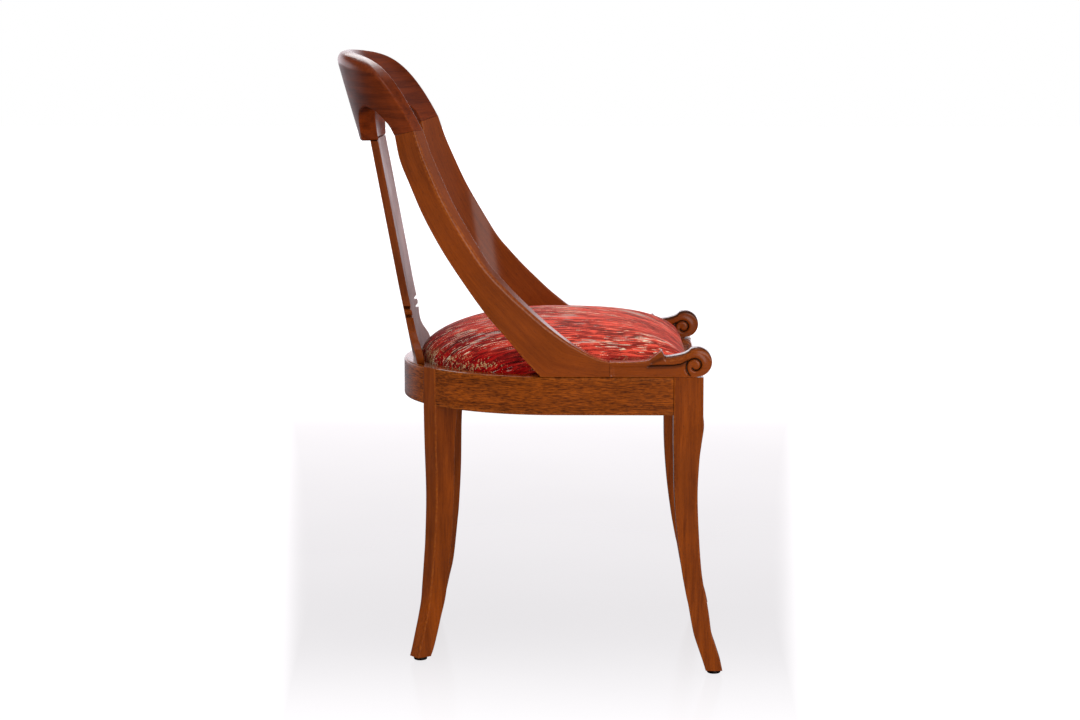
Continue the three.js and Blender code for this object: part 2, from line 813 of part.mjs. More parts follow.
// Splat

// Down the splat from its head to its foot: height as a share of its length and half-width as a share of
// the half-width at the head.
const splatShares = [
  [1, 1],
  [0.8, 0.965],
  [0.5, 0.905],
  [0.262, 0.85],
  [0.25, 0.83],
  [0.243, 0.7],
  [0.236, 0.69],
  [0.23, 0.735],
  [0.214, 0.735],
  [0.208, 0.68],
  [0.2, 0.685],
  [0.18, 0.74],
  [0.14, 0.78],
  [0.1, 0.83],
  [0.06, 0.96],
  [0.035, 0.975],
  [0, 0.92],
];

// A slice across the splat: its middle follows the lean, and it bows back at the middle plane.
function splatSection(height, halfWidth, thickness, soft) {
  const rise = (height - seatTop) / (tabBottom - seatTop);
  const headSetback = backSetback(tabBottom) - crestThickness / 2 - splatHeadInset;
  const middle = THREE.MathUtils.lerp(splatFootSetback, headSetback, rise);
  const across = [-1, -2 / 3, -1 / 3, 0, 1 / 3, 2 / 3, 1];
  const row = (face, sign) =>
    across.map((share) => {
      const x = share * (halfWidth - soft);
      return new THREE.Vector3(sign * x, middle - x ** 2 / (2 * splatBow) + face, height);
    });
  const edge = (sign) =>
    [1, -1].map((way) => {
      const y = middle - halfWidth ** 2 / (2 * splatBow) + way * sign * (soft - thickness / 2);
      return new THREE.Vector3(sign * halfWidth, y, height);
    });
  const [startNear, startFar] = edge(-1);
  const [endNear, endFar] = edge(1);
  if (soft === 0) return [...row(-thickness / 2, 1), ...row(thickness / 2, -1)];
  return [
    startFar,
    ...row(-thickness / 2, 1),
    endNear,
    endFar,
    ...row(thickness / 2, -1),
    startNear,
  ];
}

// A tenon of the splat from a height: up along its lean where the length is positive, and straight down into
// the rail where it is negative.
function splatTenon(height, length, slack) {
  const up = length > 0;
  const halfWidth = (up ? headTenonHalfWidth : footTenonHalfWidth) + slack;
  const thickness = (up ? headTenonThickness : footTenonThickness) + 2 * slack;
  const root = up ? -tenonRoot : tenonRoot;
  const end = length + Math.sign(length) * slack;
  const heights = [height + root, height + end].sort((a, b) => a - b);
  const slice = (z) =>
    splatSection(up ? z : height, halfWidth, thickness, 0).map((point) => point.setZ(z));
  return toSolid(bar(heights.map(slice)));
}

function splat() {
  const [low, high] = [seatTop + fit, tabBottom - fit];
  const sections = splatShares.map(([heightShare, widthShare]) =>
    splatSection(
      THREE.MathUtils.lerp(low, high, heightShare),
      widthShare * splatTopHalfWidth,
      splatThickness,
      splatArris,
    ),
  );
  return toSolid(bar(sections))
    .add(splatTenon(tabBottom, headTenonLength, 0))
    .add(splatTenon(seatTop, -footTenonLength, 0));
}

function crest() {
  const half = (side) => crestStations().map(([back, front]) => shellSection(back, front, side));
  const right = half(-1);
  const left = half(1).reverse().slice(1);
  const dowels = sides.flatMap(([, side]) => jointDowelPins(side, fit));
  return drilled(toSolid(bar([...right, ...left])), dowels).subtract(
    splatTenon(tabBottom, headTenonLength, fit),
  );
}

function stile(side) {
  const [[jointBackEdge, jointFrontEdge, arris], ...rest] = stileStations();
  const joint = [clearOfJoint(jointBackEdge, -1), clearOfJoint(jointFrontEdge, -1), arris];
  const sections = [joint, ...rest].map(([back, front, soft]) => shellSection(back, front, side, soft));
  return drilled(toSolid(bar(sections)), [...jointDowelPins(side, fit), ...footDowelPins(side, fit)]);
}

// Scroll blocks

// The top of a scroll block, from the seam with the stile to where the volute begins: shares of the
// block's length and of its height. The peak in the middle is the tip of the carved leaf.
const scrollTopShares = [
  [0, 0.5],
  [0.2, 0.51],
  [0.37, 0.56],
  [0.43, 0.68],
  [0.47, 0.82],
  [0.51, 0.88],
  [0.535, 0.7],
  [0.6, 0.72],
  [0.68, 0.74],
  [0.74, 0.8],
];
const voluteStart = 115; // degrees round the volute, from straight forward, where its rim leaves the top
const voluteEnd = -62; // and where it comes down to the leg
const voluteHeightShare = 0.512;

// A flat band that winds inward round the volute, as a shape: forward is +X and up is +Y.
function voluteSpiral() {
  const middle = voluteMiddle();
  const edge = (inset) =>
    Array.from({ length: voluteSteps + 1 }, (_, i) => {
      const share = i / voluteSteps;
      const angle = THREE.MathUtils.degToRad(voluteEnd) + share * voluteTurns * 2 * Math.PI;
      const radius = THREE.MathUtils.lerp(voluteRadius - inset, voluteEye - inset / 2, share);
      return [middle.x + radius * Math.cos(angle), middle.y + radius * Math.sin(angle)];
    });
  return polygon([...edge(voluteRelief), ...edge(voluteRelief + voluteBand).reverse()]);
}

function voluteMiddle() {
  return new THREE.Vector2(scrollReach - voluteRadius, voluteHeightShare * scrollHeight);
}

function scrollOutline() {
  const middle = voluteMiddle();
  const shape = new THREE.Shape();
  shape.moveTo(0, 0);
  for (const [along, up] of scrollTopShares) shape.lineTo(along * scrollReach, up * scrollHeight);
  const [from, to] = [voluteStart, voluteEnd].map(THREE.MathUtils.degToRad);
  shape.absarc(middle.x, middle.y, voluteRadius, from, to, true);
  shape.lineTo(middle.x, 0);
  return shape;
}

// The scroll's flat shapes stand upright along the rail: their +X runs forward and their depth inward.
function scrollBlock(side) {
  const upright = new THREE.Matrix4().makeBasis(
    new THREE.Vector3(0, -1, 0),
    new THREE.Vector3(0, 0, 1),
    new THREE.Vector3(-1, 0, 0),
  );
  const seat = at(seatHalfWidth, -stileFootReach - fit, seatTop + fit).multiply(upright);
  const extrude = (shape, depth, start) =>
    extruded(shape, depth).translate(0, 0, start).applyMatrix4(seat);
  const eye = new THREE.Shape().absarc(...voluteMiddle(), voluteEye, 0, 2 * Math.PI, false);
  const body = extrude(scrollOutline(), scrollWidth - 2 * voluteRelief, voluteRelief);
  const spiral = extrude(voluteSpiral(), scrollWidth, 0);
  const boss = extrude(eye, scrollWidth, 0);
  const [block, ...reliefs] = [body, spiral, boss].map((geometry) => toSolid(onSide(geometry, side)));
  return drilled(
    reliefs.reduce((sum, relief) => sum.add(relief), block),
    scrollDowelPins(side, fit),
  );
}

// Corner blocks and their screws

// Every screw that holds a corner block: two into the rails and one up into the seat board.
function blockScrews(slack) {
  const screws = [];
  const grip = frontBlockLeg / 3; // wood of a front block under a screw's head
  for (const [, side] of sides) {
    const x = innerRadius - fit;
    const y = frontRailBack - fit;
    const offset = frontBlockLeg - grip;
    const inward = new THREE.Vector3(side, 0, 0);
    const forward = new THREE.Vector3(0, -1, 0);
    const sideHead = new THREE.Vector3(side * (x - grip), offset - y, blockMiddle);
    const frontHead = new THREE.Vector3(side * (x - offset), grip - y, blockMiddle);
    screws.push(screw(sideHead, inward, grip + screwBite, slack));
    screws.push(screw(frontHead, forward, grip + screwBite, slack));
    for (const way of [-1, 1]) {
      const turn = rearTurn + way * THREE.MathUtils.degToRad(rearScrewTurn);
      const out = new THREE.Vector3(side * Math.sin(turn), Math.cos(turn), 0);
      const head = out.clone().multiplyScalar(x - rearBlockDepth).setZ(blockMiddle);
      screws.push(screw(head, out, rearBlockDepth + screwBite, slack));
    }
  }
  return screws;
}

// The upright screws, in the same order as the corner blocks: front and rear of each side.
function seatScrews(slack) {
  const grip = frontBlockLeg / 3;
  const up = new THREE.Vector3(0, 0, 1);
  const length = blockHeight + (boardBottom - blockTop) + boardThickness - screwHeadDepth;
  return sides.flatMap(([, side]) => {
    const corner = [side * (innerRadius - grip), grip - frontRailBack];
    const radius = innerRadius - rearBlockDepth / 2;
    const rear = [side * radius * Math.sin(rearTurn), radius * Math.cos(rearTurn)];
    return [corner, rear].map(([x, y]) =>
      screw(new THREE.Vector3(x, y, blockTop - blockHeight), up, length, slack),
    );
  });
}

function frontBlock(side) {
  const x = innerRadius - fit;
  const y = frontRailBack - fit;
  const corners = [
    [side * x, -y],
    [side * x, frontBlockLeg - y],
    [side * (x - frontBlockLeg), -y],
  ];
  return toSolid(slab(polygon(corners), blockTop - blockHeight, blockTop));
}

// A rear block follows the rails' inner faces and is notched over the leg.
function rearBlock(side) {
  const reach = THREE.MathUtils.degToRad(rearBlockTurn);
  const middle = Math.PI / 2 - side * rearTurn;
  const shape = new THREE.Shape();
  shape.absarc(0, 0, innerRadius - fit, middle - reach, middle + reach, false);
  shape.absarc(0, 0, innerRadius - fit - rearBlockDepth, middle + reach, middle - reach, true);
  const block = toSolid(slab(shape, blockTop - blockHeight, blockTop));
  return block.subtract(legSlot(rearLegSeat(side), rearLegWidth, rearLegDepth));
}

// Seat

// Points round the seat's opening, drawn in by an inset. The points of every inset face each other, so
// two rings keep their distance all the way round. The share scales a ring towards the middle, and the
// smaller it is the rounder the ring becomes.
function seatRing(inset, height, share = 1, drawIn = 0) {
  const edge = horseshoe(sideRim, frontRim, wellCorner);
  const half = seatHalfWidth - sideRim;
  const front = seatFrontReach - frontRim;
  return Array.from({ length: ringPoints }, (_, i) => {
    const u = i / ringPoints;
    const point = edge.getPointAt(u);
    const tangent = edge.getTangentAt(u);
    const pull = point.y < 0 ? drawIn * (1 - (point.x / half) ** 2) * (point.y / front) ** 2 : 0;
    const x = point.x - tangent.y * inset;
    const y = point.y + tangent.x * inset + pull;
    const round = THREE.MathUtils.lerp((half - inset) / Math.hypot(x, y), 1, share);
    return new THREE.Vector3(x * share * round, y * share * round, height);
  });
}

const middlePoint = (height) => new THREE.Vector3(0, 0, height);

function sheet(inset, bottom, top) {
  return skin(middlePoint(bottom), [seatRing(inset, bottom), seatRing(inset, top)], middlePoint(top));
}

const crownHeight = (inset) => seatTop + seatCrown - (inset - fit);

// Rings of the dome from its edge to near its crown, drawn in by an inset all over.
function domeRings(inset) {
  const base = seatTop + seatEdgeRise;
  const rise = crownHeight(inset) - base;
  return Array.from({ length: domeSteps }, (_, i) => {
    const angle = ((i / domeSteps) * Math.PI) / 2;
    const share = Math.cos(angle) ** (2 / domePower);
    const height = base + rise * Math.sin(angle) ** (2 / domePower);
    return seatRing(inset, height, share, seatDrawIn * Math.sin(2 * angle));
  });
}

const seatBoard = () => toSolid(sheet(boardInset, boardBottom, boardTop));

function dustCover() {
  const top = boardBottom - fit;
  return toSolid(sheet(2 * fit + hemWidth, top - dustThickness, top));
}

function seatFoam() {
  const bottom = boardTop + fit;
  const rings = [seatRing(boardInset, bottom), ...domeRings(boardInset)];
  return skin(middlePoint(bottom), rings, middlePoint(crownHeight(boardInset)));
}

// The cover goes over the foam, down the edge of the board and under it.
function seatCover() {
  const outer = fit;
  const inner = fit + coverThickness;
  const bottom = ledgeTop + fit;
  const rings = [
    ...domeRings(outer).reverse(),
    seatRing(outer, bottom),
    seatRing(outer + hemWidth, bottom),
    seatRing(outer + hemWidth, bottom + coverThickness),
    seatRing(inner, bottom + coverThickness),
    ...domeRings(inner),
  ];
  return skin(middlePoint(crownHeight(outer)), rings, middlePoint(crownHeight(inner)));
}

// The pieces in their places

const seatPlace = at(0, 0, seatTop);
const railHoles = blockScrews(fit);
const seatHoles = seatScrews(fit);

function placeParts(name, parts, material) {
  parts.forEach(({ geometry, seat }, i) => place(name[i], toSolid(geometry, seat), material, seat));
}

for (const [name, side] of sides) {
  place("front_leg_" + name, frontLeg(side), paleMahogany, frontLegSeat(side));
  place("rear_leg_" + name, rearLeg(side), paleMahogany, rearLegSeat(side));
  place("glide_front_" + name, toSolid(glide(0), frontFoot(side)), darkSteel, frontFoot(side));
  place("glide_rear_" + name, toSolid(glide(0), rearFoot(side)), darkSteel, rearFoot(side));

  const railPlace = at(side * seatHalfWidth, 0, seatTop);
  place("side_rail_" + name, drilled(sideRail(side), railHoles), paleMahogany, railPlace);
  place("stile_" + name, stile(side), goldMahogany, at(side * seatHalfWidth, footHeel(), seatTop));
  const scrollPlace = at(side * seatHalfWidth, -stileFootReach, seatTop);
  place("scroll_block_" + name, scrollBlock(side), goldMahogany, scrollPlace);

  const numbered = (word) => [word + "_" + name + "_1", word + "_" + name + "_2"];
  placeParts(numbered("crest_dowel"), jointDowelPins(side, 0), bareBeech);
  placeParts(numbered("stile_dowel"), footDowelPins(side, 0), bareBeech);
  placeParts(numbered("scroll_dowel"), scrollDowelPins(side, 0), bareBeech);

  const frontCorner = at(side * innerRadius, -frontRailBack, blockTop);
  const rearCorner = at(side * innerRadius * Math.sin(rearTurn), innerRadius * Math.cos(rearTurn), blockTop);
  const blockHoles = [...railHoles, ...seatHoles];
  place("corner_block_front_" + name, drilled(frontBlock(side), blockHoles), bareBeech, frontCorner);
  place("corner_block_rear_" + name, drilled(rearBlock(side), blockHoles), bareBeech, rearCorner);
}

place("back_rail", drilled(backRail(), railHoles), paleMahogany, at(0, seatHalfWidth, seatTop));
place("front_rail", drilled(frontRail(), railHoles), paleMahogany, at(0, -seatFrontReach, seatTop));
place("splat", splat(), redMahogany, at(0, splatFootSetback, seatTop));
place("crest_rail", crest(), redMahogany, at(0, backSetback(crestTop), crestTop));

const screwNames = sides.flatMap(([name]) =>
  ["front_side_", "front_face_", "rear_back_", "rear_side_"].map((end) => "block_screw_" + end + name),
);
const seatScrewNames = sides.flatMap(([name]) => ["seat_screw_front_" + name, "seat_screw_rear_" + name]);
placeParts(screwNames, blockScrews(0), steel);
placeParts(seatScrewNames, seatScrews(0), steel);

place("seat_board", drilled(seatBoard(), seatHoles), plywood, seatPlace);
place("dust_cover", drilled(dustCover(), seatHoles), blackCloth, seatPlace);
place("seat_foam", toSolid(seatFoam()), foam, seatPlace);
place("seat_cover", toSolid(seatCover()), coralFabric, seatPlace);

// The chair's box is centred on its depth.
const box = new THREE.Box3().setFromObject(chair);
chair.position.y = -(box.min.y + box.max.y) / 2;

export default chair;
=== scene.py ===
# %% [markdown]
# # A klismos-derived dining chair
# The chair has sabre legs, a crest rail that wraps round the sitter, stiles that sweep down to carved
# scrolls, a thin vase splat and a domed slip seat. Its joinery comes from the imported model: every new
# piece is built round it, in metres and in the same frame. Loading the frame could wait until the pieces
# are drawn, but it goes first, because each piece takes its place from a node's box.

# %% Load the frame
import json
import math

import bpy
import numpy as np
from mathutils import Matrix, Vector


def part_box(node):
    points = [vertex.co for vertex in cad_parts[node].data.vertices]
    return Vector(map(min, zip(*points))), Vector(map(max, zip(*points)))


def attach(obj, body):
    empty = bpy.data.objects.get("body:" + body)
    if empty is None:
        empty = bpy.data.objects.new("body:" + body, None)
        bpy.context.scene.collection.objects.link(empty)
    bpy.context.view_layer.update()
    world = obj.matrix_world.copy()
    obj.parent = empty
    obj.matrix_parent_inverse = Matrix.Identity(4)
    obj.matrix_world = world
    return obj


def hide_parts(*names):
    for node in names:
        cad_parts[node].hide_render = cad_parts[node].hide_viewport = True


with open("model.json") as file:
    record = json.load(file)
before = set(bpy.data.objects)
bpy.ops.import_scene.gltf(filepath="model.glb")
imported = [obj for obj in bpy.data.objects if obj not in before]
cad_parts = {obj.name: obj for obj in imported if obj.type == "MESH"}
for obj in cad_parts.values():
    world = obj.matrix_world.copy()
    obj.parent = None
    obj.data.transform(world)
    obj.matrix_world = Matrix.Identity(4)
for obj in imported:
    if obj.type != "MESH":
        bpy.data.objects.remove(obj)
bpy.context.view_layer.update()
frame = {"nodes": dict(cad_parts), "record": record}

# %% [markdown]
# The chair's curves are easiest to describe in millimetres from the centre of its round back. The packed
# model stands on the middle of its own box instead, so one shift along Y leads from one to the other. It
# could be typed in, but reading it off the front rail keeps it true if the model changes.

# %% The seat's plan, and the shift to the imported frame
MM = 0.001
SEAT_HALF_WIDTH = 220.0
SEAT_FRONT = 203.0
SEAT_TOP = 417.0
LEDGE_TOP = 401.0
RAIL_BOTTOM = 364.0
RAIL_THICKNESS = 32.0
FRONT_RAIL_THICKNESS = 24.0
SIDE_RIM = 24.0
FRONT_RIM = 16.0
WELL_CORNER = 30.0
PLAY = 0.3
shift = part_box("front_rail")[0].y + SEAT_FRONT * MM
print("centre of the round back at y =", round(shift, 5))

# %% [markdown]
# The camera stands level with the back, to the chair's right, and looks along the seat frame and slightly
# down. A long lens keeps the near and far legs almost the same size. Its place could be found by eye, but
# the feet and the seat's corners are far enough apart to work it out, so it is written as numbers.

# %% Camera
IMAGE_WIDTH = 1080
FOCAL_PIXELS = 2693.9
CAMERA_PLACE = (-3867.1, -23.1, 952.3)
CAMERA_YAW = 0.0121
CAMERA_DIP = 0.1393


def make_camera():
    """Looks along (cos dip cos yaw, cos dip sin yaw, -sin dip), with its X axis level."""
    ahead = Vector(
        (
            math.cos(CAMERA_DIP) * math.cos(CAMERA_YAW),
            math.cos(CAMERA_DIP) * math.sin(CAMERA_YAW),
            -math.sin(CAMERA_DIP),
        )
    )
    right = Vector((math.sin(CAMERA_YAW), -math.cos(CAMERA_YAW), 0.0))
    up = right.cross(ahead)
    data = bpy.data.cameras.new("camera")
    data.sensor_width = 36.0
    data.lens = FOCAL_PIXELS / IMAGE_WIDTH * data.sensor_width
    data.clip_end = 100.0
    camera = bpy.data.objects.new("camera", data)
    bpy.context.scene.collection.objects.link(camera)
    x, y, z = (v * MM for v in CAMERA_PLACE)
    turned = Matrix((right, up, -ahead)).transposed().to_4x4()
    camera.matrix_world = Matrix.Translation((x, y + shift, z)) @ turned
    bpy.context.scene.camera = camera
    return camera


print("camera lens", round(make_camera().data.lens, 2), "mm")

# %% [markdown]
# ## How the pieces are made
# A chair like this is sawn, bent and planed from solid wood: each member is one section carried along one
# curve. Box modelling with subdivision would also give such forms, but it rounds every arris the same.
# Here a piece is a grid: a loop of points round its section, repeated at stations along its length, all
# worked out at once with numpy. The loop carries extra points on its arrises, so the polish catches light
# there, and every point remembers where it lies in the wood, so the grain can follow a bent part.


# %% From grids to meshes
def smooth_rows(rows, count):
    """Catmull-Rom: from row P1 to row P2, with P0 and P3 beside them and t from 0 to 1, half of
    2 P1 + (P2 - P0) t + (2 P0 - 5 P1 + 4 P2 - P3) t^2 + (3 P1 - P0 - 3 P2 + P3) t^3."""
    rows = np.asarray(rows, float)
    around = np.vstack([2 * rows[0] - rows[1], rows, 2 * rows[-1] - rows[-2]])
    place = np.linspace(0, len(rows) - 1, count)
    i = np.minimum(place.astype(int), len(rows) - 2)
    t = (place - i)[:, None]
    p0, p1, p2, p3 = (around[i + k] for k in range(4))
    return 0.5 * (
        2 * p1
        + (p2 - p0) * t
        + (2 * p0 - 5 * p1 + 4 * p2 - p3) * t**2
        + (3 * p1 - p0 - 3 * p2 + p3) * t**3
    )


def soft_loop(width, depth, soft, flats=(6, 3), arc_steps=3):
    """Points round rectangles with rounded corners, one rectangle for each station: an arc of
    radius soft about each corner's centre, and points on the sides between, the outer ones close
    to the arcs so that the sides stay flat.
    Returns across and deep, both in millimetres, and 1 on the arcs and 0 on the sides."""
    width, depth = (np.reshape(v, (-1, 1)).astype(float) for v in (width, depth))
    soft = np.broadcast_to(soft, (len(width), 4)).astype(float)
    arcs = []
    for k, (right, far) in enumerate([(0, 0), (1, 0), (1, 1), (0, 1)]):
        radius = soft[:, k : k + 1]
        angle = np.radians(180 + 90 * k + np.linspace(0, 90, arc_steps + 1))
        middle_x = np.where(right, width - radius, radius)
        middle_y = np.where(far, depth - radius, radius)
        arcs.append((middle_x + radius * np.cos(angle), middle_y + radius * np.sin(angle)))
    across, deep, edge = [], [], []
    for k in range(4):
        (x0, y0), (x1, y1) = arcs[k], arcs[(k + 1) % 4]
        t = np.linspace(0.02, 0.98, flats[k % 2])
        across += [x0, x0[:, -1:] * (1 - t) + x1[:, :1] * t]
        deep += [y0, y0[:, -1:] * (1 - t) + y1[:, :1] * t]
        edge += [np.ones(x0.shape), np.zeros((len(width), len(t)))]
    return np.hstack(across), np.hstack(deep), np.hstack(edge)


def grid_faces(stations, around):
    """Quads between neighbouring stations, wrapped round the loop, as an array of four columns."""
    i, j = np.meshgrid(np.arange(stations - 1), np.arange(around), indexing="ij")
    k = (j + 1) % around
    quads = [i * around + j, i * around + k, (i + 1) * around + k, (i + 1) * around + j]
    return np.stack(quads, -1).reshape(-1, 4)


def signed_volume(points, faces):
    """A sixth of the sum of p0 . (p1 x p2) over each face's fan of triangles."""
    total = 0.0
    for face in faces:
        p = points[list(face)]
        total += np.einsum("ij,ij->", np.cross(p[1:-1], p[2:]), np.broadcast_to(p[0], p[1:-1].shape))
    return total / 6


def solid_mesh(name, points, grain=None, edge=None, painted_shade=None, sharp=40.0):
    """A closed skin over a grid of stations by loop points, in millimetres from the centre of
    the back. Each end is one flat face. Grain is each point's place in the wood, in metres."""
    stations, around = points.shape[:2]
    flat = points.reshape(-1, 3)
    quads = grid_faces(stations, around)
    ends = [np.arange(around)[::-1], np.arange(around) + (stations - 1) * around]
    sample = [tuple(q) for q in quads[:: max(1, len(quads) // 4000)]]
    inside = flat.mean(0)
    outward = sum(
        np.dot(np.cross(flat[b] - flat[a], flat[c] - flat[a]), flat[a] - inside)
        for a, b, c, _ in sample
    )
    faces = [tuple(q) for q in quads] + [tuple(e) for e in ends]
    if signed_volume(flat - inside, faces) < 0:
        faces = [f[::-1] for f in faces]
    mesh = bpy.data.meshes.new(name)
    metres = flat * MM + np.array([0.0, shift, 0.0])
    mesh.from_pydata(metres.tolist(), [], [tuple(int(v) for v in f) for f in faces])
    mesh.update()
    if grain is not None:
        layer = mesh.attributes.new("grain", "FLOAT_VECTOR", "POINT")
        layer.data.foreach_set("vector", np.ascontiguousarray(grain, np.float32).ravel())
    # Marks for the material: wear on the arrises, and painted shade, which darkens the colour almost to black.
    for mark, values in (("arris", edge), ("painted_shade", painted_shade)):
        if values is not None:
            layer = mesh.attributes.new(mark, "FLOAT", "POINT")
            layer.data.foreach_set("value", np.ascontiguousarray(values, np.float32).ravel())
    mesh.shade_smooth()
    mesh.set_sharp_from_angle(angle=math.radians(sharp))
    return mesh


def show(mesh, material, slot, *stands_for):
    """Puts a finished mesh into the scene, riding on the chair, in place of its nodes."""
    piece = bpy.data.objects.new(mesh.name, mesh)
    bpy.context.scene.collection.objects.link(piece)
    mesh.materials.append(material)
    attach(piece, "root")
    if stands_for:
        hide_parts(*stands_for)
    print(f"{mesh.name}: {len(mesh.vertices)} points, {len(mesh.polygons)} faces")
    return piece


# %% [markdown]
# ## Finishes
# The wood is mahogany under a thick, bright polish. Real mahogany shows long fibres, a slow ribbon of
# lighter and darker wood, short dark pores, and in veneer a rippled figure across the grain. An image
# could carry these, but a pattern computed from each point's place in the wood has no seams and follows
# a bent part. The patterns are node groups, built once and used with other values in each wood.


# %% Node helpers
def linear(code):
    """A colour written as six hex digits, as linear values: ((c + 0.055) / 1.055) ^ 2.4."""
    values = [int(code[i : i + 2], 16) / 255 for i in (0, 2, 4)]
    return [v / 12.92 if v <= 0.04045 else ((v + 0.055) / 1.055) ** 2.4 for v in values] + [1.0]


def new_group(name, inputs, outputs):
    """An empty shader group with named sockets, and its two end nodes."""
    group = bpy.data.node_groups.new(name, "ShaderNodeTree")
    for socket, kind, value in inputs:
        made = group.interface.new_socket(socket, in_out="INPUT", socket_type="NodeSocket" + kind)
        if value is not None:
            made.default_value = value
    for socket, kind in outputs:
        group.interface.new_socket(socket, in_out="OUTPUT", socket_type="NodeSocket" + kind)
    return group, group.nodes.new("NodeGroupInput"), group.nodes.new("NodeGroupOutput")


def wire(tree, source, target):
    """Links a node's output to an input, or sets the input to a plain value."""
    if isinstance(source, bpy.types.NodeSocket):
        tree.links.new(source, target)
    else:
        target.default_value = source


def math_node(tree, operation, *values, clamp=False):
    node = tree.nodes.new("ShaderNodeMath")
    node.operation, node.use_clamp = operation, clamp
    for value, socket in zip(values, node.inputs):
        wire(tree, value, socket)
    return node.outputs[0]


def stretched(tree, vector, scale, offset=(0.0, 0.0, 0.0)):
    """The vector with each axis scaled by its own amount, then moved."""
    node = tree.nodes.new("ShaderNodeVectorMath")
    node.operation = "MULTIPLY_ADD"
    wire(tree, vector, node.inputs[0])
    wire(tree, scale, node.inputs[1])
    wire(tree, offset, node.inputs[2])
    return node.outputs[0]


def noise(tree, vector, scale, detail=4.0, rough=0.5, distortion=0.0):
    node = tree.nodes.new("ShaderNodeTexNoise")
    wire(tree, vector, node.inputs["Vector"])
    wire(tree, scale, node.inputs["Scale"])
    wire(tree, detail, node.inputs["Detail"])
    wire(tree, rough, node.inputs["Roughness"])
    wire(tree, distortion, node.inputs["Distortion"])
    return node.outputs["Fac"]


def between(tree, value, low, high, to_low=0.0, to_high=1.0):
    """Smoothly from to_low where the value is low to to_high where it is high."""
    node = tree.nodes.new("ShaderNodeMapRange")
    node.interpolation_type = "SMOOTHSTEP"
    for socket, given in zip(node.inputs, (value, low, high, to_low, to_high)):
        wire(tree, given, socket)
    return node.outputs[0]


def blend_colours(tree, share, first, second, how="MIX"):
    node = tree.nodes.new("ShaderNodeMix")
    node.data_type, node.blend_type = "RGBA", how
    wire(tree, share, node.inputs[0])
    wire(tree, first, node.inputs[6])
    wire(tree, second, node.inputs[7])
    return node.outputs[2]


def attribute(tree, name, output):
    node = tree.nodes.new("ShaderNodeAttribute")
    node.attribute_name = name
    return node.outputs[output]


def object_place(tree):
    return tree.nodes.new("ShaderNodeTexCoord").outputs["Object"]


# %% [markdown]
# The first group draws wood. Its vector is in metres with X along the grain. Fibres are noise stretched a
# hundredfold along it, the ribbon is a slower noise that also bends the fibres, and the ripple crosses
# them. It gives a colour, a height for the bump of the open pores, and a roughness.


# %% The wood group
def make_wood_group():
    """Colour = ribbon and fibres between a dark and a pale wood, times the pores and the ripple."""
    tree, start, end = new_group(
        "wood",
        [
            ("Vector", "Vector", None),
            ("Dark", "Color", (0.1, 0.03, 0.01, 1)),
            ("Pale", "Color", (0.3, 0.1, 0.03, 1)),
            ("Ribbon", "Float", 0.5),
            ("Fibre", "Float", 0.5),
            ("Ripple", "Float", 0.0),
            ("Pores", "Float", 0.5),
            ("Seed", "Float", 0.0),
        ],
        [("Color", "Color"), ("Height", "Float"), ("Roughness", "Float")],
    )
    given = start.outputs
    offset = tree.nodes.new("ShaderNodeCombineXYZ")
    for socket in offset.inputs:
        wire(tree, given["Seed"], socket)
    placed = stretched(tree, given["Vector"], (1.0, 1.0, 1.0), offset.outputs[0])
    sway = noise(tree, stretched(tree, placed, (5.0, 22.0, 22.0)), 1.0, 2.0)
    swayed = tree.nodes.new("ShaderNodeCombineXYZ")
    bend = math_node(tree, "MULTIPLY", math_node(tree, "SUBTRACT", sway, 0.5), 0.012)
    wire(tree, bend, swayed.inputs[1])
    wire(tree, bend, swayed.inputs[2])
    bent = tree.nodes.new("ShaderNodeVectorMath")
    wire(tree, placed, bent.inputs[0])
    wire(tree, swayed.outputs[0], bent.inputs[1])
    along = bent.outputs[0]
    ribbon = between(tree, noise(tree, stretched(tree, along, (7.0, 90.0, 60.0)), 1.0, 3.0), 0.3, 0.7)
    fibre = between(tree, noise(tree, stretched(tree, along, (14.0, 620.0, 620.0)), 1.0, 5.0, 0.65), 0.3, 0.72)
    ripple = between(tree, noise(tree, stretched(tree, placed, (85.0, 780.0, 70.0)), 1.0, 3.0, 0.6, 0.7), 0.34, 0.66)
    pore = between(tree, noise(tree, stretched(tree, along, (150.0, 1400.0, 1400.0)), 1.0, 2.0, 0.6), 0.6, 0.7)
    share = math_node(tree, "MULTIPLY_ADD", math_node(tree, "SUBTRACT", ribbon, 0.5), given["Ribbon"], 0.5)
    share = math_node(
        tree, "MULTIPLY_ADD", math_node(tree, "SUBTRACT", fibre, 0.5), given["Fibre"], share
    )
    share = math_node(
        tree,
        "MULTIPLY_ADD",
        math_node(tree, "SUBTRACT", ripple, 0.5),
        given["Ripple"],
        share,
        clamp=True,
    )
    colour = blend_colours(tree, share, given["Dark"], given["Pale"])
    holes = math_node(tree, "MULTIPLY", pore, given["Pores"])
    colour = blend_colours(tree, holes, colour, (0.025, 0.008, 0.003, 1), "MIX")
    wire(tree, colour, end.inputs["Color"])
    height = math_node(tree, "MULTIPLY_ADD", fibre, 0.35, math_node(tree, "MULTIPLY", holes, -1.0))
    wire(tree, height, end.inputs["Height"])
    cloud = noise(tree, stretched(tree, placed, (18.0, 18.0, 18.0)), 1.0, 4.0)
    wire(tree, between(tree, cloud, 0.3, 0.7, 0.0, 1.0), end.inputs["Roughness"])
    return tree


wood_group = make_wood_group()
print("wood group:", len(wood_group.nodes), "nodes")
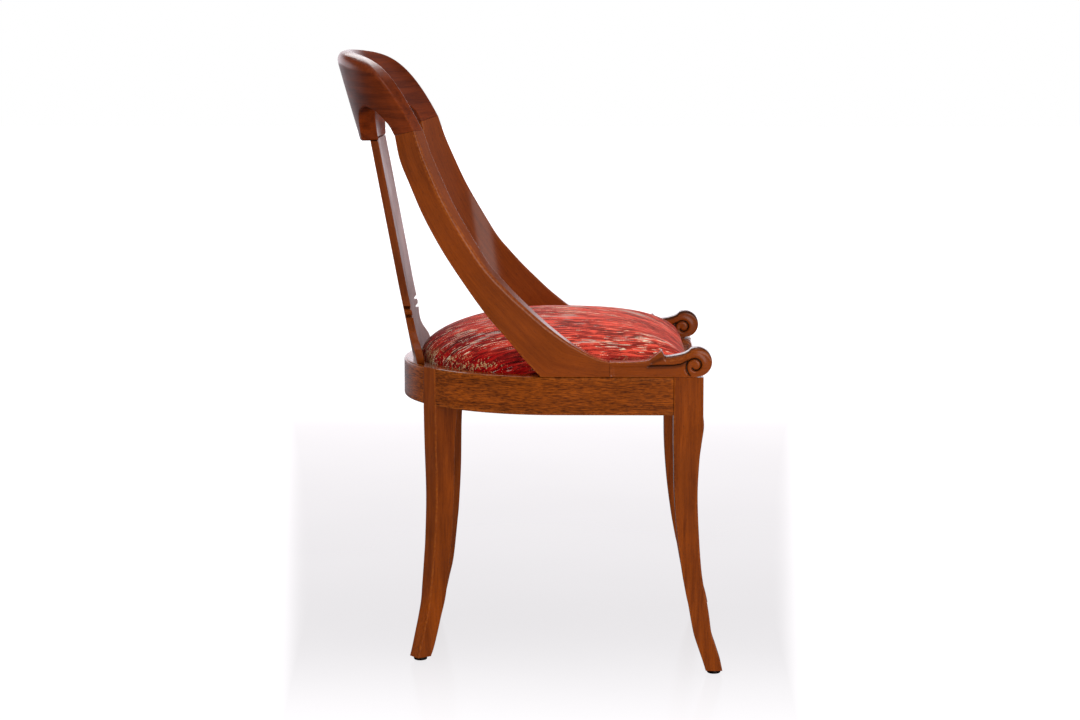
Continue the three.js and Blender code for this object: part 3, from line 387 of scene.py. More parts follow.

# %% [markdown]
# The second group is wear, and painted shade. Hands and cloths thin the polish on the arrises, where the
# wood shows paler and more golden. It also paints shade: where a piece marks shaded places, such as the
# scroll's groove and the underside of its neck, the colour is darkened almost to black. Wear could be found
# from the mesh's own sharpness, but the pieces already say which points lie on an arris, and that is cleaner.


# %% The wear and painted shade group
def make_wear_and_shade_group():
    """Colour is mixed towards the worn colour by arris x broken noise, and roughness rises there. Then painted shade
    darkens it almost to black where the piece marks shade.
    """
    tree, start, end = new_group(
        "wear_and_shade",
        [
            ("Vector", "Vector", None),
            ("Color", "Color", (0.2, 0.1, 0.05, 1)),
            ("Worn", "Color", (0.5, 0.25, 0.1, 1)),
            ("Arris", "Float", 0.0),
            ("Amount", "Float", 0.5),
            ("Cloud", "Float", 0.5),
            ("Smooth", "Float", 0.1),
            ("Rough", "Float", 0.3),
            # Painted shade: how far to darken the colour towards black.
            ("Hollow", "Float", 0.0),
        ],
        [("Color", "Color"), ("Roughness", "Float"), ("Film", "Float")],
    )
    given = start.outputs
    broken = noise(tree, stretched(tree, given["Vector"], (230.0, 230.0, 230.0)), 1.0, 6.0, 0.7)
    worn = math_node(
        tree,
        "MULTIPLY",
        math_node(tree, "MULTIPLY", given["Arris"], given["Amount"]),
        between(tree, broken, 0.42, 0.62),
    )
    colour = blend_colours(tree, worn, given["Color"], given["Worn"])
    patch = noise(tree, stretched(tree, given["Vector"], (9.0, 9.0, 9.0)), 1.0, 3.0)
    shade = between(tree, patch, 0.25, 0.75, 0.84, 1.1)
    tint = tree.nodes.new("ShaderNodeCombineXYZ")
    for socket in tint.inputs:
        wire(tree, shade, socket)
    colour = blend_colours(tree, 1.0, colour, tint.outputs[0], "MULTIPLY")
    # Painted shade: the colour is darkened almost to black where the piece's mark of shade is high.
    painted_shade_share = math_node(tree, "MULTIPLY", given["Hollow"], 0.93, clamp=True)
    wire(tree, blend_colours(tree, painted_shade_share, colour, (0.008, 0.003, 0.002, 1)), end.inputs["Color"])
    spread = math_node(tree, "SUBTRACT", given["Rough"], given["Smooth"])
    rough = math_node(tree, "MULTIPLY_ADD", given["Cloud"], spread, given["Smooth"])
    rough = math_node(tree, "MULTIPLY_ADD", worn, 0.12, rough)
    wire(tree, rough, end.inputs["Roughness"])
    film = math_node(tree, "MULTIPLY_ADD", worn, -0.5, 1.0)
    wire(tree, film, end.inputs["Film"])
    return tree


wear_and_shade_group = make_wear_and_shade_group()
print("wear group:", len(wear_and_shade_group.nodes), "nodes")


# %% Polished woods
def add_group(tree, group, **values):
    """A group node with its inputs linked or set by name."""
    node = tree.nodes.new("ShaderNodeGroup")
    node.node_tree = group
    for name, value in values.items():
        wire(tree, value, node.inputs[name])
    return node


def add_bump(tree, height, strength, distance):
    bump = tree.nodes.new("ShaderNodeBump")
    bump.inputs["Strength"].default_value = strength
    bump.inputs["Distance"].default_value = distance
    wire(tree, height, bump.inputs["Height"])
    return bump.outputs[0]


def new_material(name):
    material = bpy.data.materials.new(name)
    material.use_nodes = True
    return material, material.node_tree, material.node_tree.nodes["Principled BSDF"]


def turned_upright(tree, vector):
    """Swaps X and Z, so that wood standing on end has its grain along X."""
    parts = tree.nodes.new("ShaderNodeSeparateXYZ")
    wire(tree, vector, parts.inputs[0])
    joined = tree.nodes.new("ShaderNodeCombineXYZ")
    for source, target in ((2, 0), (1, 1), (0, 2)):
        wire(tree, parts.outputs[source], joined.inputs[target])
    return joined.outputs[0]


def polished_wood(name, dark, pale, worn, upright=False, follows=True, sheen=0.14, smooth=0.28, rough=0.44, coat=1.0, **figure):
    """Wood under a clear, bright polish: the wood group's colour, worn on the arrises and darkened by painted shade
    where the piece marks it, with a coat.
    """
    material, tree, shader = new_material(name)
    vector = attribute(tree, "grain", "Vector") if follows else object_place(tree)
    if upright:
        vector = turned_upright(tree, vector)
    wood = add_group(tree, wood_group, Vector=vector, Dark=linear(dark), Pale=linear(pale), **figure)
    wear_and_shade = add_group(
        tree,
        wear_and_shade_group,
        Vector=vector,
        Color=wood.outputs["Color"],
        Worn=linear(worn),
        Arris=attribute(tree, "arris", "Fac"),
        Amount=0.3,
        Cloud=wood.outputs["Roughness"],
        Smooth=smooth,
        Rough=rough,
        # Painted shade, from the piece's own mark.
        Hollow=attribute(tree, "painted_shade", "Fac"),
    )
    wire(tree, wear_and_shade.outputs["Color"], shader.inputs["Base Color"])
    wire(tree, wear_and_shade.outputs["Roughness"], shader.inputs["Roughness"])
    wire(tree, math_node(tree, "MULTIPLY", wear_and_shade.outputs["Film"], coat), shader.inputs["Coat Weight"])
    shader.inputs["Coat Roughness"].default_value = sheen
    shader.inputs["Coat IOR"].default_value = 1.4
    shader.inputs["Specular IOR Level"].default_value = 0.06
    wire(tree, add_bump(tree, wood.outputs["Height"], 0.2, 0.0002), shader.inputs["Normal"])
    return material


rail_wood = polished_wood(
    "veneered_mahogany", "421802", "a44e07", "b8641e", Ribbon=0.2, Fibre=0.25, Ripple=0.7, Pores=0.5, Seed=1.3
)
leg_wood = polished_wood(
    "leg_mahogany", "602502", "9c4807", "b0601c",
    upright=True, follows=False, Ribbon=0.4, Fibre=0.4, Ripple=0.08, Pores=0.45, Seed=4.1,
)
stile_wood = polished_wood(
    "golden_mahogany", "6a2a02", "984506", "c06a24", sheen=0.17, Ribbon=0.25, Fibre=0.3, Ripple=0.12, Pores=0.5, Seed=7.7
)
crest_wood = polished_wood(
    "red_mahogany", "4a1702", "883607", "96481c", sheen=0.22, coat=0.65, Ribbon=0.45, Fibre=0.3, Ripple=0.15, Pores=0.35, Seed=2.9
)
splat_wood = polished_wood(
    "splat_mahogany", "5c2204", "94450c", "a8581c", sheen=0.24, coat=0.5, Ribbon=0.35, Fibre=0.3, Ripple=0.1, Pores=0.4, Seed=5.2
)
print("polished woods:", rail_wood.name, leg_wood.name, stile_wood.name, crest_wood.name, splat_wood.name)

# %% [markdown]
# ## The curved back
# Crest and stiles are parts of one shell, like a barrel sawn open: in plan a blunt oval that flows into
# straight sides, and the whole leans back as it rises. The shell could be bent out of a flat board with a
# modifier, but then nothing says where its edges run. So a function gives any point of the shell from its
# turn round the plan, its height and its depth in the wood, and each member is a band between two edges.

# %% The shell
CREST_TOP = 857.0
JOINT_HEIGHT = 756.0
BACK_REACH = 316.0
BACK_LEAN = 0.29
STILE_LEAN = 0.17
LEAN_EASE = 40.0
BACK_SWEEP = 165.0
SHOULDER_SPREAD = 26.0
CREST_DRAW_IN = 50.0
CORNER_POWER = 2.15
SHELL_THICKNESS = 24.0
STILE_FOOT_REACH = 74.0


def back_setback(height):
    """Outer face on the middle plane: it leans by one slope in the crest and by a steeper one
    below the joint, and passes from one to the other as 1 - e^(-drop / ease)."""
    height = np.asarray(height, float)
    drop = np.maximum(JOINT_HEIGHT - height, 0)
    eased = (BACK_LEAN - STILE_LEAN) * LEAN_EASE * (1 - np.exp(-drop / LEAN_EASE))
    above = CREST_TOP - np.maximum(height, JOINT_HEIGHT)
    return BACK_REACH - above * BACK_LEAN - drop * STILE_LEAN - eased


def half_width(height):
    """The seat's half-width, an even spread as it rises, and above the joints less the draw-in
    times the square of the way to the crest's top."""
    spread = SHOULDER_SPREAD * (height - SEAT_TOP) / (JOINT_HEIGHT - SEAT_TOP)
    above = np.maximum(height - JOINT_HEIGHT, 0) / (CREST_TOP - JOINT_HEIGHT)
    return SEAT_HALF_WIDTH + spread - CREST_DRAW_IN * above**2


def shell_point(turn, height, share, side):
    """Plan: |x / half|^p + |y / sweep|^p = 1 by turn, then straight forward past turn 1. Share
    goes inward along the plan's normal, from 0 on the outer face to 1 on the inner one."""
    turn, height, share = np.broadcast_arrays(*(np.asarray(v, float) for v in (turn, height, share)))
    angle = np.clip(turn, 0, 1) * math.pi / 2
    across = np.sin(angle) ** (2 / CORNER_POWER)
    along = np.clip(np.cos(angle), 0, None) ** (2 / CORNER_POWER)
    straight = np.maximum(turn - 1, 0)
    normal_x = across ** (CORNER_POWER - 1) / SEAT_HALF_WIDTH
    normal_y = along ** (CORNER_POWER - 1) / BACK_SWEEP
    length = np.hypot(normal_x, normal_y)
    inward = SHELL_THICKNESS * share / length
    x = side * (half_width(height) * across - inward * normal_x)
    y = back_setback(height) - BACK_SWEEP * (1 - along + straight) - inward * normal_y
    return np.stack([x, y, height], -1)


def turn_at(y, height):
    """The turn at which the shell's outer face reaches a place along Y at a height."""
    swept = (back_setback(height) - y) / BACK_SWEEP
    round_part = 2 / math.pi * np.arccos((1 - np.clip(swept, 0, 1)) ** (CORNER_POWER / 2))
    return np.where(swept >= 1, swept, round_part)


def shell_band(edges, soft, side, flats=(10, 4), arc_steps=3, by_reach=False, lead=0.0):
    """A band of the shell between two edges, given at each station as turn and height of the one
    and of the other: points, grain places and arris marks, each a grid of stations by loop.
    Edges by reach are given by their place along Y instead, which stays smooth past turn 1, and
    there the second edge may stand further forward on the inner face, by lead."""

    def on_shell(place, height, share):
        return shell_point(turn_at(place, height) if by_reach else place, height, share, side)

    first, second = edges[:, :2], edges[:, 2:]
    middle = on_shell((first[:, 0] + second[:, 0]) / 2, (first[:, 1] + second[:, 1]) / 2, 0.5)
    ends = [on_shell(e[:, 0], e[:, 1], 0.5) for e in (first, second)]
    width = np.linalg.norm(ends[1] - ends[0], axis=1)
    across, deep, edge = soft_loop(width, np.full(len(width), SHELL_THICKNESS), soft, flats, arc_steps)
    share = across / width[:, None]
    inner = second[:, :1] - np.reshape(lead, (-1, 1)) * deep / SHELL_THICKNESS
    place = first[:, :1] * (1 - share) + inner * share
    height = first[:, 1:] * (1 - share) + second[:, 1:] * share
    points = on_shell(place, height, deep / SHELL_THICKNESS)
    run = np.concatenate([[0], np.cumsum(np.linalg.norm(np.diff(middle, axis=0), axis=1))])
    along = np.broadcast_to(run[:, None], across.shape)
    grain = np.stack([along, across - width[:, None] / 2, deep], -1) * MM
    return points, grain, edge, place, height


print("shell at the joint:", shell_point(0.7, JOINT_HEIGHT, 0, 1).round(1))

# %% [markdown]
# A stile is a sabre seen from the side: wide where it joins the crest, then slimmer, and wider again where
# it lands on the rail and runs forward as a foot. Its two edges are drawn as a few stations each, smoothed
# to about a hundred. The arrises differ, as on the real chair: the outer front one is broken round so that
# it carries a soft line of light, the inner one is crisp, and all are sharp at the foot.

# %% Stiles
JOINT_BACK_SHARES = (0.386, 0.97)
JOINT_FRONT_SHARES = (0.575, 0.993)
STILE_SHARES = np.array(
    [
        (0.87, 0.98, 0.9, 0.869),
        (0.771, 0.933, 0.805, 0.824),
        (0.651, 0.872, 0.694, 0.763),
        (0.518, 0.787, 0.567, 0.674),
        (0.391, 0.69, 0.455, 0.586),
        (0.259, 0.58, 0.354, 0.48),
        (0.157, 0.479, 0.268, 0.374),
        (0.068, 0.394, 0.198, 0.28),
        (0.0, 0.321, 0.136, 0.184),
        (0.0, 0.212, 0.094, 0.102),
        (0.0, 0.1, 0.072, 0.048),
        (0.0, 0.0, 0.06, 0.0),
    ]
)
STILE_REACH = 219.4
INNER_LEAD = [0.0, 1.5, 3.8, 5.6, 7.4, 7.8, 5.6, 3.4, 1.6, 0.6, 0.2, 0.0, 0.0]
HEEL_ROW = 9
STILE_STATIONS = 110
FOOT_STATIONS = 24


def joint_edge(sweep_share, height_share):
    """Place along Y and height of one end of the joint."""
    height = SEAT_TOP + height_share * (JOINT_HEIGHT - SEAT_TOP)
    return float(back_setback(height) - sweep_share * BACK_SWEEP), height


def edge_at(height_share, reach_share):
    """An edge as its place along Y and height, from shares of the joint's height and reach."""
    height = SEAT_TOP + PLAY + height_share * (JOINT_HEIGHT - SEAT_TOP - PLAY)
    reach = STILE_REACH + STILE_FOOT_REACH
    return np.stack([reach_share * reach - STILE_FOOT_REACH, height], -1)


def by_turn(place, height):
    return float(turn_at(place, height)), height


stile_back_end, stile_front_end = joint_edge(*JOINT_BACK_SHARES), joint_edge(*JOINT_FRONT_SHARES)
joint_back, joint_front = by_turn(*stile_back_end), by_turn(*stile_front_end)


def stile_edges():
    """The back edge is smooth down to the heel and straight on along the rail, and the front edge
    is one smooth curve to the end of the foot."""
    back = np.vstack([stile_back_end, edge_at(STILE_SHARES[:, 0], STILE_SHARES[:, 1])])
    front = np.vstack([stile_front_end, edge_at(STILE_SHARES[:, 2], STILE_SHARES[:, 3])])
    back[0, 1] -= PLAY / 2
    front[0, 1] -= PLAY / 2
    blade = smooth_rows(back[: HEEL_ROW + 1], STILE_STATIONS)
    foot_place = np.linspace(HEEL_ROW, len(back) - 1, FOOT_STATIONS + 1)[1:]
    rows = np.arange(len(back))
    foot = np.stack([np.interp(foot_place, rows, back[:, k]) for k in (0, 1)], -1)
    fine = smooth_rows(front, 60 * (len(front) - 1) + 1)
    place = np.concatenate([np.linspace(0, HEEL_ROW, STILE_STATIONS), foot_place])
    front_fine = fine[np.rint(place * 60).astype(int)]
    return np.hstack([np.vstack([blade, foot]), front_fine])


def stile_arrises(count):
    """Radii of the four arrises: outer back, outer front, inner front, inner back."""
    rows = [0, 8, STILE_STATIONS - 14, STILE_STATIONS, count - 1]
    stations = np.arange(count)
    at_stations = [(2.6, 3.4, 1.5, 2.6), (2.6, 4.6, 1.5, 2.6), (2.6, 4.2, 1.5, 2.6), (0.7, 3.0, 1.5, 0.7), (0.5, 1.2, 0.8, 0.5)]
    return np.stack([np.interp(stations, rows, column) for column in np.array(at_stations).T], -1)


edges = stile_edges()
lead = np.interp(np.linspace(0, HEEL_ROW + 1, len(edges)), np.arange(len(INNER_LEAD)), INNER_LEAD)
for name, side in (("right", -1), ("left", 1)):
    points, grain, edge, _, _ = shell_band(edges, stile_arrises(len(edges)), side, by_reach=True, lead=lead)
    mesh = solid_mesh("stile_" + name + "_wood", points, grain + np.array([0.0, 0.0, 0.4 * (side + 1)]), edge)
    show(mesh, stile_wood, "golden_mahogany", "stile_" + name)

# %% [markdown]
# The crest rail is one long piece that starts at the stiles' joints, grows broader as it wraps round, and
# drops a tab in the middle to hold the splat. It could be a blade with a separate tab, but on the real
# chair one saw cut makes both, so its lower edge simply runs down round the tab. Its outer top arris is
# rolled over in the middle of the back, where a hand grips it.

# %% Crest rail
CREST_SHARES = np.array(
    [(0.97, 0.36, 0.984), (0.93, 0.54, 0.947), (0.88, 0.73, 0.91), (0.825, 0.88, 0.86), (0.76, 0.96, 0.79), (0.7, 1, 0.7)]
)
TAB_SHARES = np.array(
    [
        (1.73, 0.03),
        (1.52, 0.15),
        (1.36, 0.32),
        (1.2, 0.55),
        (1.08, 0.74),
        (1.02, 0.86),
        (0.99, 0.94),
        (0.94, 0.99),
        (0.86, 1.0),
        (0.68, 1.0),
        (0.5, 1.0),
        (0.25, 1.0),
        (0.0, 1.0),
    ]
)
TAB_HALF_WIDTH = 84.0
TAB_DROP = 51.5
CREST_BLADE = 74.0
SLOW_FALL = 0.195
FALL_POWER = 7.4
CREST_STATIONS = 190


def turn_out(half, height):
    """The turn at which the outer face stands a half-width out from the middle plane."""
    across = np.clip(half / half_width(height), 0, 1) ** (CORNER_POWER / 2)
    return 2 / math.pi * np.arcsin(across)


def crest_edges():
    """Lower edge from the tables. Upper edge: its fall from the middle is slow u^2 + (1 - slow)
    u^power of the fall to the joint, with u its turn as a share of the joint's."""
    lower = CREST_TOP - CREST_BLADE
    low_turn, low, high_turn = CREST_SHARES.T
    wing = [low_turn * joint_back[0], joint_back[1] + (lower - joint_back[1]) * low, high_turn * joint_front[0]]
    out, drop = TAB_SHARES.T
    height = lower - drop * TAB_DROP
    tab = [turn_out(out * TAB_HALF_WIDTH, height), height, turn_out(out * TAB_HALF_WIDTH, CREST_TOP)]
    joint = [*joint_back, joint_front[0]]
    rows = smooth_rows(np.vstack([joint, np.stack(wing, -1), np.stack(tab, -1)]), CREST_STATIONS)
    share = rows[:, 2] / joint_front[0]
    fall = SLOW_FALL * share**2 + (1 - SLOW_FALL) * share**FALL_POWER
    top = CREST_TOP - (CREST_TOP - joint_front[1]) * fall
    edges = np.column_stack([rows, top])
    edges[0, [1, 3]] += PLAY / 2
    return edges


def crest_arrises(edges):
    """The outer top arris opens into a broad roll: 2.4 + 16 s, where s runs smoothly from 0 near
    the joint to 1 over the middle half of the back."""
    way = np.clip((0.93 - edges[:, 2] / edges[0, 2]) / 0.5, 0, 1)
    rolled = 2.4 + 16 * way**2 * (3 - 2 * way)
    return np.stack([np.full(len(way), 2.0), rolled, np.full(len(way), 2.6), np.full(len(way), 2.0)], -1)


def arc_place(turn, height):
    """Length round the shell from the middle plane to a turn, and the height, both in metres."""
    turns = np.linspace(0, 1.2, 400)
    line = shell_point(turns, CREST_TOP - CREST_BLADE, 0.5, 1)
    run = np.concatenate([[0], np.cumsum(np.linalg.norm(np.diff(line, axis=0), axis=1))])
    return np.interp(turn, turns, run) * MM, height * MM


def make_crest():
    edges = crest_edges()
    points, grain, edge, turn, height = shell_band(edges, crest_arrises(edges), 1, (14, 4), 7)
    along, up = arc_place(turn, height)
    grain = np.stack([along, up, grain[..., 2]], -1)
    flip = np.array([-1.0, 1.0, 1.0])
    points = np.concatenate([points * flip, points[-2::-1]])
    grain = np.concatenate([grain * flip, grain[-2::-1]])
    edge = np.concatenate([edge, edge[-2::-1]])
    return solid_mesh("crest_rail_wood", points, grain, edge)


show(make_crest(), crest_wood, "red_mahogany", "crest_rail")

# %% [markdown]
# The splat is a thin board in the outline of a vase: broad at the crest, narrowing slowly, nipped by two
# notches with a bead between, then a narrow neck that flares to its foot. It leans with the back and bows
# a little round the sitter. A flat board with a bent outline would do from the side, but not from the
# front, so it is a slim section with its own half-width at each height.

# %% Splat
SPLAT_THICKNESS = 11.0
SPLAT_HALF_WIDTH = 77.0
SPLAT_FOOT_SETBACK = 200.8
SPLAT_HEAD_INSET = 8.4
SPLAT_BOW = 700.0
SPLAT_FOOT_BOW = 430.0
SPLAT_BOW_END = 0.34
TAB_BOTTOM = CREST_TOP - CREST_BLADE - TAB_DROP
SPLAT_VASE = [(1, 1.0), (0.8, 1.0), (0.5, 0.97), (0.3, 0.93), (0.254, 0.92)]
SPLAT_COLLAR = [
    (0.254, 0.92), (0.249, 0.62), (0.241, 0.58), (0.237, 0.88), (0.227, 0.93), (0.215, 0.88),
    (0.211, 0.58), (0.203, 0.6), (0.199, 0.9),
]
SPLAT_NECK = [
    (0.199, 0.9), (0.175, 0.83), (0.145, 0.82), (0.115, 0.93), (0.085, 1.12), (0.06, 1.24),
    (0.03, 1.26), (0, 1.2),
]


def make_splat():
    """x = across - half-width, y = lean(z) - x^2 / (2 bow) + deep, at every height of the outline.
    One over the bow falls evenly from the foot up to the collar, and stays from there on."""
    collar = np.array(SPLAT_COLLAR)
    steps = np.linspace(0, len(collar) - 1, 8 * (len(collar) - 1) + 1)[1:-1]
    crisp = np.stack([np.interp(steps, np.arange(len(collar)), collar[:, k]) for k in (0, 1)], -1)
    outline = np.vstack([smooth_rows(SPLAT_VASE, 60), crisp, smooth_rows(SPLAT_NECK, 60)])
    low, high = SEAT_TOP + PLAY, TAB_BOTTOM - PLAY
    z = low + outline[:, 0] * (high - low)
    half = outline[:, 1] * SPLAT_HALF_WIDTH
    across, deep, edge = soft_loop(2 * half, np.full(len(half), SPLAT_THICKNESS), 1.5, (16, 3))
    x = across - half[:, None]
    rise = (z - SEAT_TOP) / (TAB_BOTTOM - SEAT_TOP)
    head = back_setback(TAB_BOTTOM) - SHELL_THICKNESS / 2 - SPLAT_HEAD_INSET
    middle = SPLAT_FOOT_SETBACK + (head - SPLAT_FOOT_SETBACK) * rise
    up = np.clip(outline[:, :1] / SPLAT_BOW_END, 0, 1)
    curve = (1 - up) / SPLAT_FOOT_BOW + up / SPLAT_BOW
    y = middle[:, None] - x**2 * curve / 2 + deep - SPLAT_THICKNESS / 2
    points = np.stack([x, y, np.broadcast_to(z[:, None], x.shape)], -1)
    grain = np.stack([points[..., 2], x, deep], -1) * MM
    return solid_mesh("splat_wood", points, grain, edge)


show(make_splat(), splat_wood, "red_mahogany", "splat")

# %% [markdown]
# ## Legs
# Sabre legs are sawn from straight, upright stock, so their grain stays vertical while the leg curves out
# of it. The front legs swing forward at the foot and keep one side flat, and the rear legs stand out along
# the round of the seat. Both are a soft rectangle whose reach, depth and width change down the leg. The
# slip seat is let into their tops, so a shape like the seat's well is cut out of each with a Boolean.

# %% Leg tables and frames
GLIDE_HEIGHT = 5.0
LEG_END = GLIDE_HEIGHT + PLAY
SABRE_KICK = 29.0
FRONT_LEG_DEPTH, FRONT_LEG_WIDTH = 41.0, 32.0
REAR_LEG_DEPTH, REAR_LEG_WIDTH = 38.0, 31.0
REAR_LEG_TURN = math.radians(36)
LEG_ARRIS = 1.9
FRONT_LEG_SHARES = [
    (1, 0, 1, 1),
    (0.953, 0.03, 1.02, 1),
    (0.886, -0.08, 0.94, 0.98),
    (0.822, -0.17, 0.86, 0.96),
    (0.693, -0.24, 0.785, 0.91),
    (0.543, -0.17, 0.735, 0.86),
    (0.395, -0.03, 0.665, 0.81),
    (0.3, 0.16, 0.65, 0.78),
    (0.262, 0.265, 0.648, 0.765),
    (0.214, 0.36, 0.64, 0.75),
    (0.147, 0.48, 0.61, 0.73),
    (0.094, 0.69, 0.61, 0.715),
    (0.041, 0.9, 0.6, 0.7),
    (0, 1.01, 0.565, 0.69),
]
REAR_LEG_SHARES = [
    (1, 0, 1, 1),
    (0.975, 0, 1, 1),
    (0.835, -0.03, 0.87, 0.97),
    (0.638, -0.085, 0.8, 0.92),
    (0.47, 0, 0.776, 0.86),
    (0.387, 0.086, 0.757, 0.83),
    (0.278, 0.22, 0.737, 0.79),
    (0.217, 0.3, 0.7, 0.77),
    (0.153, 0.47, 0.66, 0.75),
    (0.1, 0.64, 0.66, 0.735),
    (0.035, 0.85, 0.64, 0.72),
    (0, 0.98, 0.605, 0.71),
]


def leg_seat(kind, side):
    """Where a leg stands, and its turn: its own -Y points outward."""
    if kind == "front":
        return np.array([side * (SEAT_HALF_WIDTH - FRONT_LEG_WIDTH / 2), -SEAT_FRONT]), 0.0
    out = np.array([side * math.sin(REAR_LEG_TURN), math.cos(REAR_LEG_TURN)])
    return SEAT_HALF_WIDTH * out, math.pi - side * REAR_LEG_TURN


def turned_out(x, y, seat, turn):
    """A leg's own x and y turned about Z and moved to its seat."""
    c, s = math.cos(turn), math.sin(turn)
    return seat[0] + c * x - s * y, seat[1] + s * x + c * y


def leg_grid(kind, side):
    """Down the leg: y runs from -reach to depth - reach, and x about a middle that keeps the
    front leg's outer side flat as it tapers."""
    shares, depth, width = (
        (FRONT_LEG_SHARES, FRONT_LEG_DEPTH, FRONT_LEG_WIDTH)
        if kind == "front"
        else (REAR_LEG_SHARES, REAR_LEG_DEPTH, REAR_LEG_WIDTH)
    )
    flush = side if kind == "front" else 0
    rows = smooth_rows(shares, 120)
    z = LEG_END + rows[:, 0] * (RAIL_BOTTOM - LEG_END)
    z = np.concatenate([np.linspace(SEAT_TOP, RAIL_BOTTOM, 9)[:-1], z])
    reach, deep, wide = (np.concatenate([np.full(8, rows[0, k]), rows[:, k]]) for k in (1, 2, 3))
    deep, wide = depth * deep, width * wide
    across, inward, edge = soft_loop(wide, deep, LEG_ARRIS, (6, 6))
    middle = flush * (width - wide) / 2
    x = across + (middle - wide / 2)[:, None]
    y = inward - (SABRE_KICK * reach)[:, None]
    x, y = turned_out(x, y, *leg_seat(kind, side))
    return np.stack([x, y, np.broadcast_to(z[:, None], x.shape)], -1), edge


# %% [markdown]
# The well that the slip seat lies in is a horseshoe: straight sides, a half circle at the back and small
# rounded corners in front. The same outline, drawn in by other amounts, gives the cushion. It is walked
# round once at even steps, so every inset of it has facing points.


# %% The horseshoe of the seat
def horseshoe(count, offset=0.0):
    """Even steps round the opening, from the middle of its front: x, y, and the outward normal."""
    half, front, corner = SEAT_HALF_WIDTH - SIDE_RIM, SEAT_FRONT - FRONT_RIM, WELL_CORNER
    bend = np.linspace(0, math.pi / 2, 60)
    round_back = np.linspace(0, math.pi, 240)
    lines = [
        (np.linspace(0, half - corner, 40), np.full(40, -front), np.zeros(40), np.full(40, -1.0)),
        (
            half - corner + corner * np.sin(bend),
            corner - front - corner * np.cos(bend),
            np.sin(bend),
            -np.cos(bend),
        ),
        (np.full(60, half), np.linspace(corner - front, 0, 60), np.ones(60), np.zeros(60)),
        (half * np.cos(round_back), half * np.sin(round_back), np.cos(round_back), np.sin(round_back)),
    ]
    right = [np.concatenate([line[k] for line in lines]) for k in range(4)]
    line_back = [np.full(60, -half), np.linspace(0, corner - front, 60), -np.ones(60), np.zeros(60)]
    corner_back = [
        -(half - corner + corner * np.cos(bend)),
        corner - front - corner * np.sin(bend),
        -np.cos(bend),
        -np.sin(bend),
    ]
    front_back = [np.linspace(corner - half, 0, 40), np.full(40, -front), np.zeros(40), np.full(40, -1.0)]
    x, y, nx, ny = (
        np.concatenate([right[k], line_back[k], corner_back[k], front_back[k]]) for k in range(4)
    )
    run = np.concatenate([[0], np.cumsum(np.hypot(np.diff(x), np.diff(y)))])
    even = np.linspace(0, run[-1], count, endpoint=False) + offset
    return [np.interp(even, run, values) for values in (x, y, nx, ny)]


def cut(mesh, cutter_mesh):
    """The mesh less the cutter, made by an exact Boolean and read back as a plain mesh."""
    body = bpy.data.objects.new("body", mesh)
    cutter = bpy.data.objects.new("cutter", cutter_mesh)
    for thing in (body, cutter):
        bpy.context.scene.collection.objects.link(thing)
    boolean = body.modifiers.new("well", "BOOLEAN")
    boolean.operation, boolean.solver, boolean.object = "DIFFERENCE", "EXACT", cutter
    depsgraph = bpy.context.evaluated_depsgraph_get()
    made = bpy.data.meshes.new_from_object(body.evaluated_get(depsgraph))
    for thing in (body, cutter):
        bpy.data.objects.remove(thing)
    made.shade_smooth()
    made.set_sharp_from_angle(angle=math.radians(35))
    return made


x, y, _, _ = horseshoe(180)
ring = np.stack([x, y], -1)
heights = np.array([LEDGE_TOP, SEAT_TOP + 10.0])
well = np.concatenate(
    [np.broadcast_to(ring, (2, *ring.shape)), np.broadcast_to(heights[:, None, None], (2, len(ring), 1))], -1
)
well_mesh = solid_mesh("well", well)

# %% Legs
for kind in ("front", "rear"):
    for name, side in (("right", -1), ("left", 1)):
        points, edge = leg_grid(kind, side)
        mesh = cut(solid_mesh(f"{kind}_leg_{name}_wood", points, None, edge), well_mesh)
        mesh.name = f"{kind}_leg_{name}_wood"
        mesh.materials.clear()
        show(mesh, leg_wood, "frame_mahogany", f"{kind}_leg_{name}")

# %% [markdown]
# ## Seat frame
# The side rails start straight behind the front legs and then bend round the back to the rear legs, and
# the back rail closes the curve. All have a rim with a ledge inside, on which the slip seat rests. One
# section is carried along each, and the outline's depth inward gives the curve: an arc of smaller radius.
# The rails' ends stop against the flat sides of the rear legs, so each depth ends at its own angle.

# %% Rails
RAIL_ARRIS = 2.6
RAIL_UP_STEPS = 9
END_ANGLE = math.pi / 2 - REAR_LEG_TURN


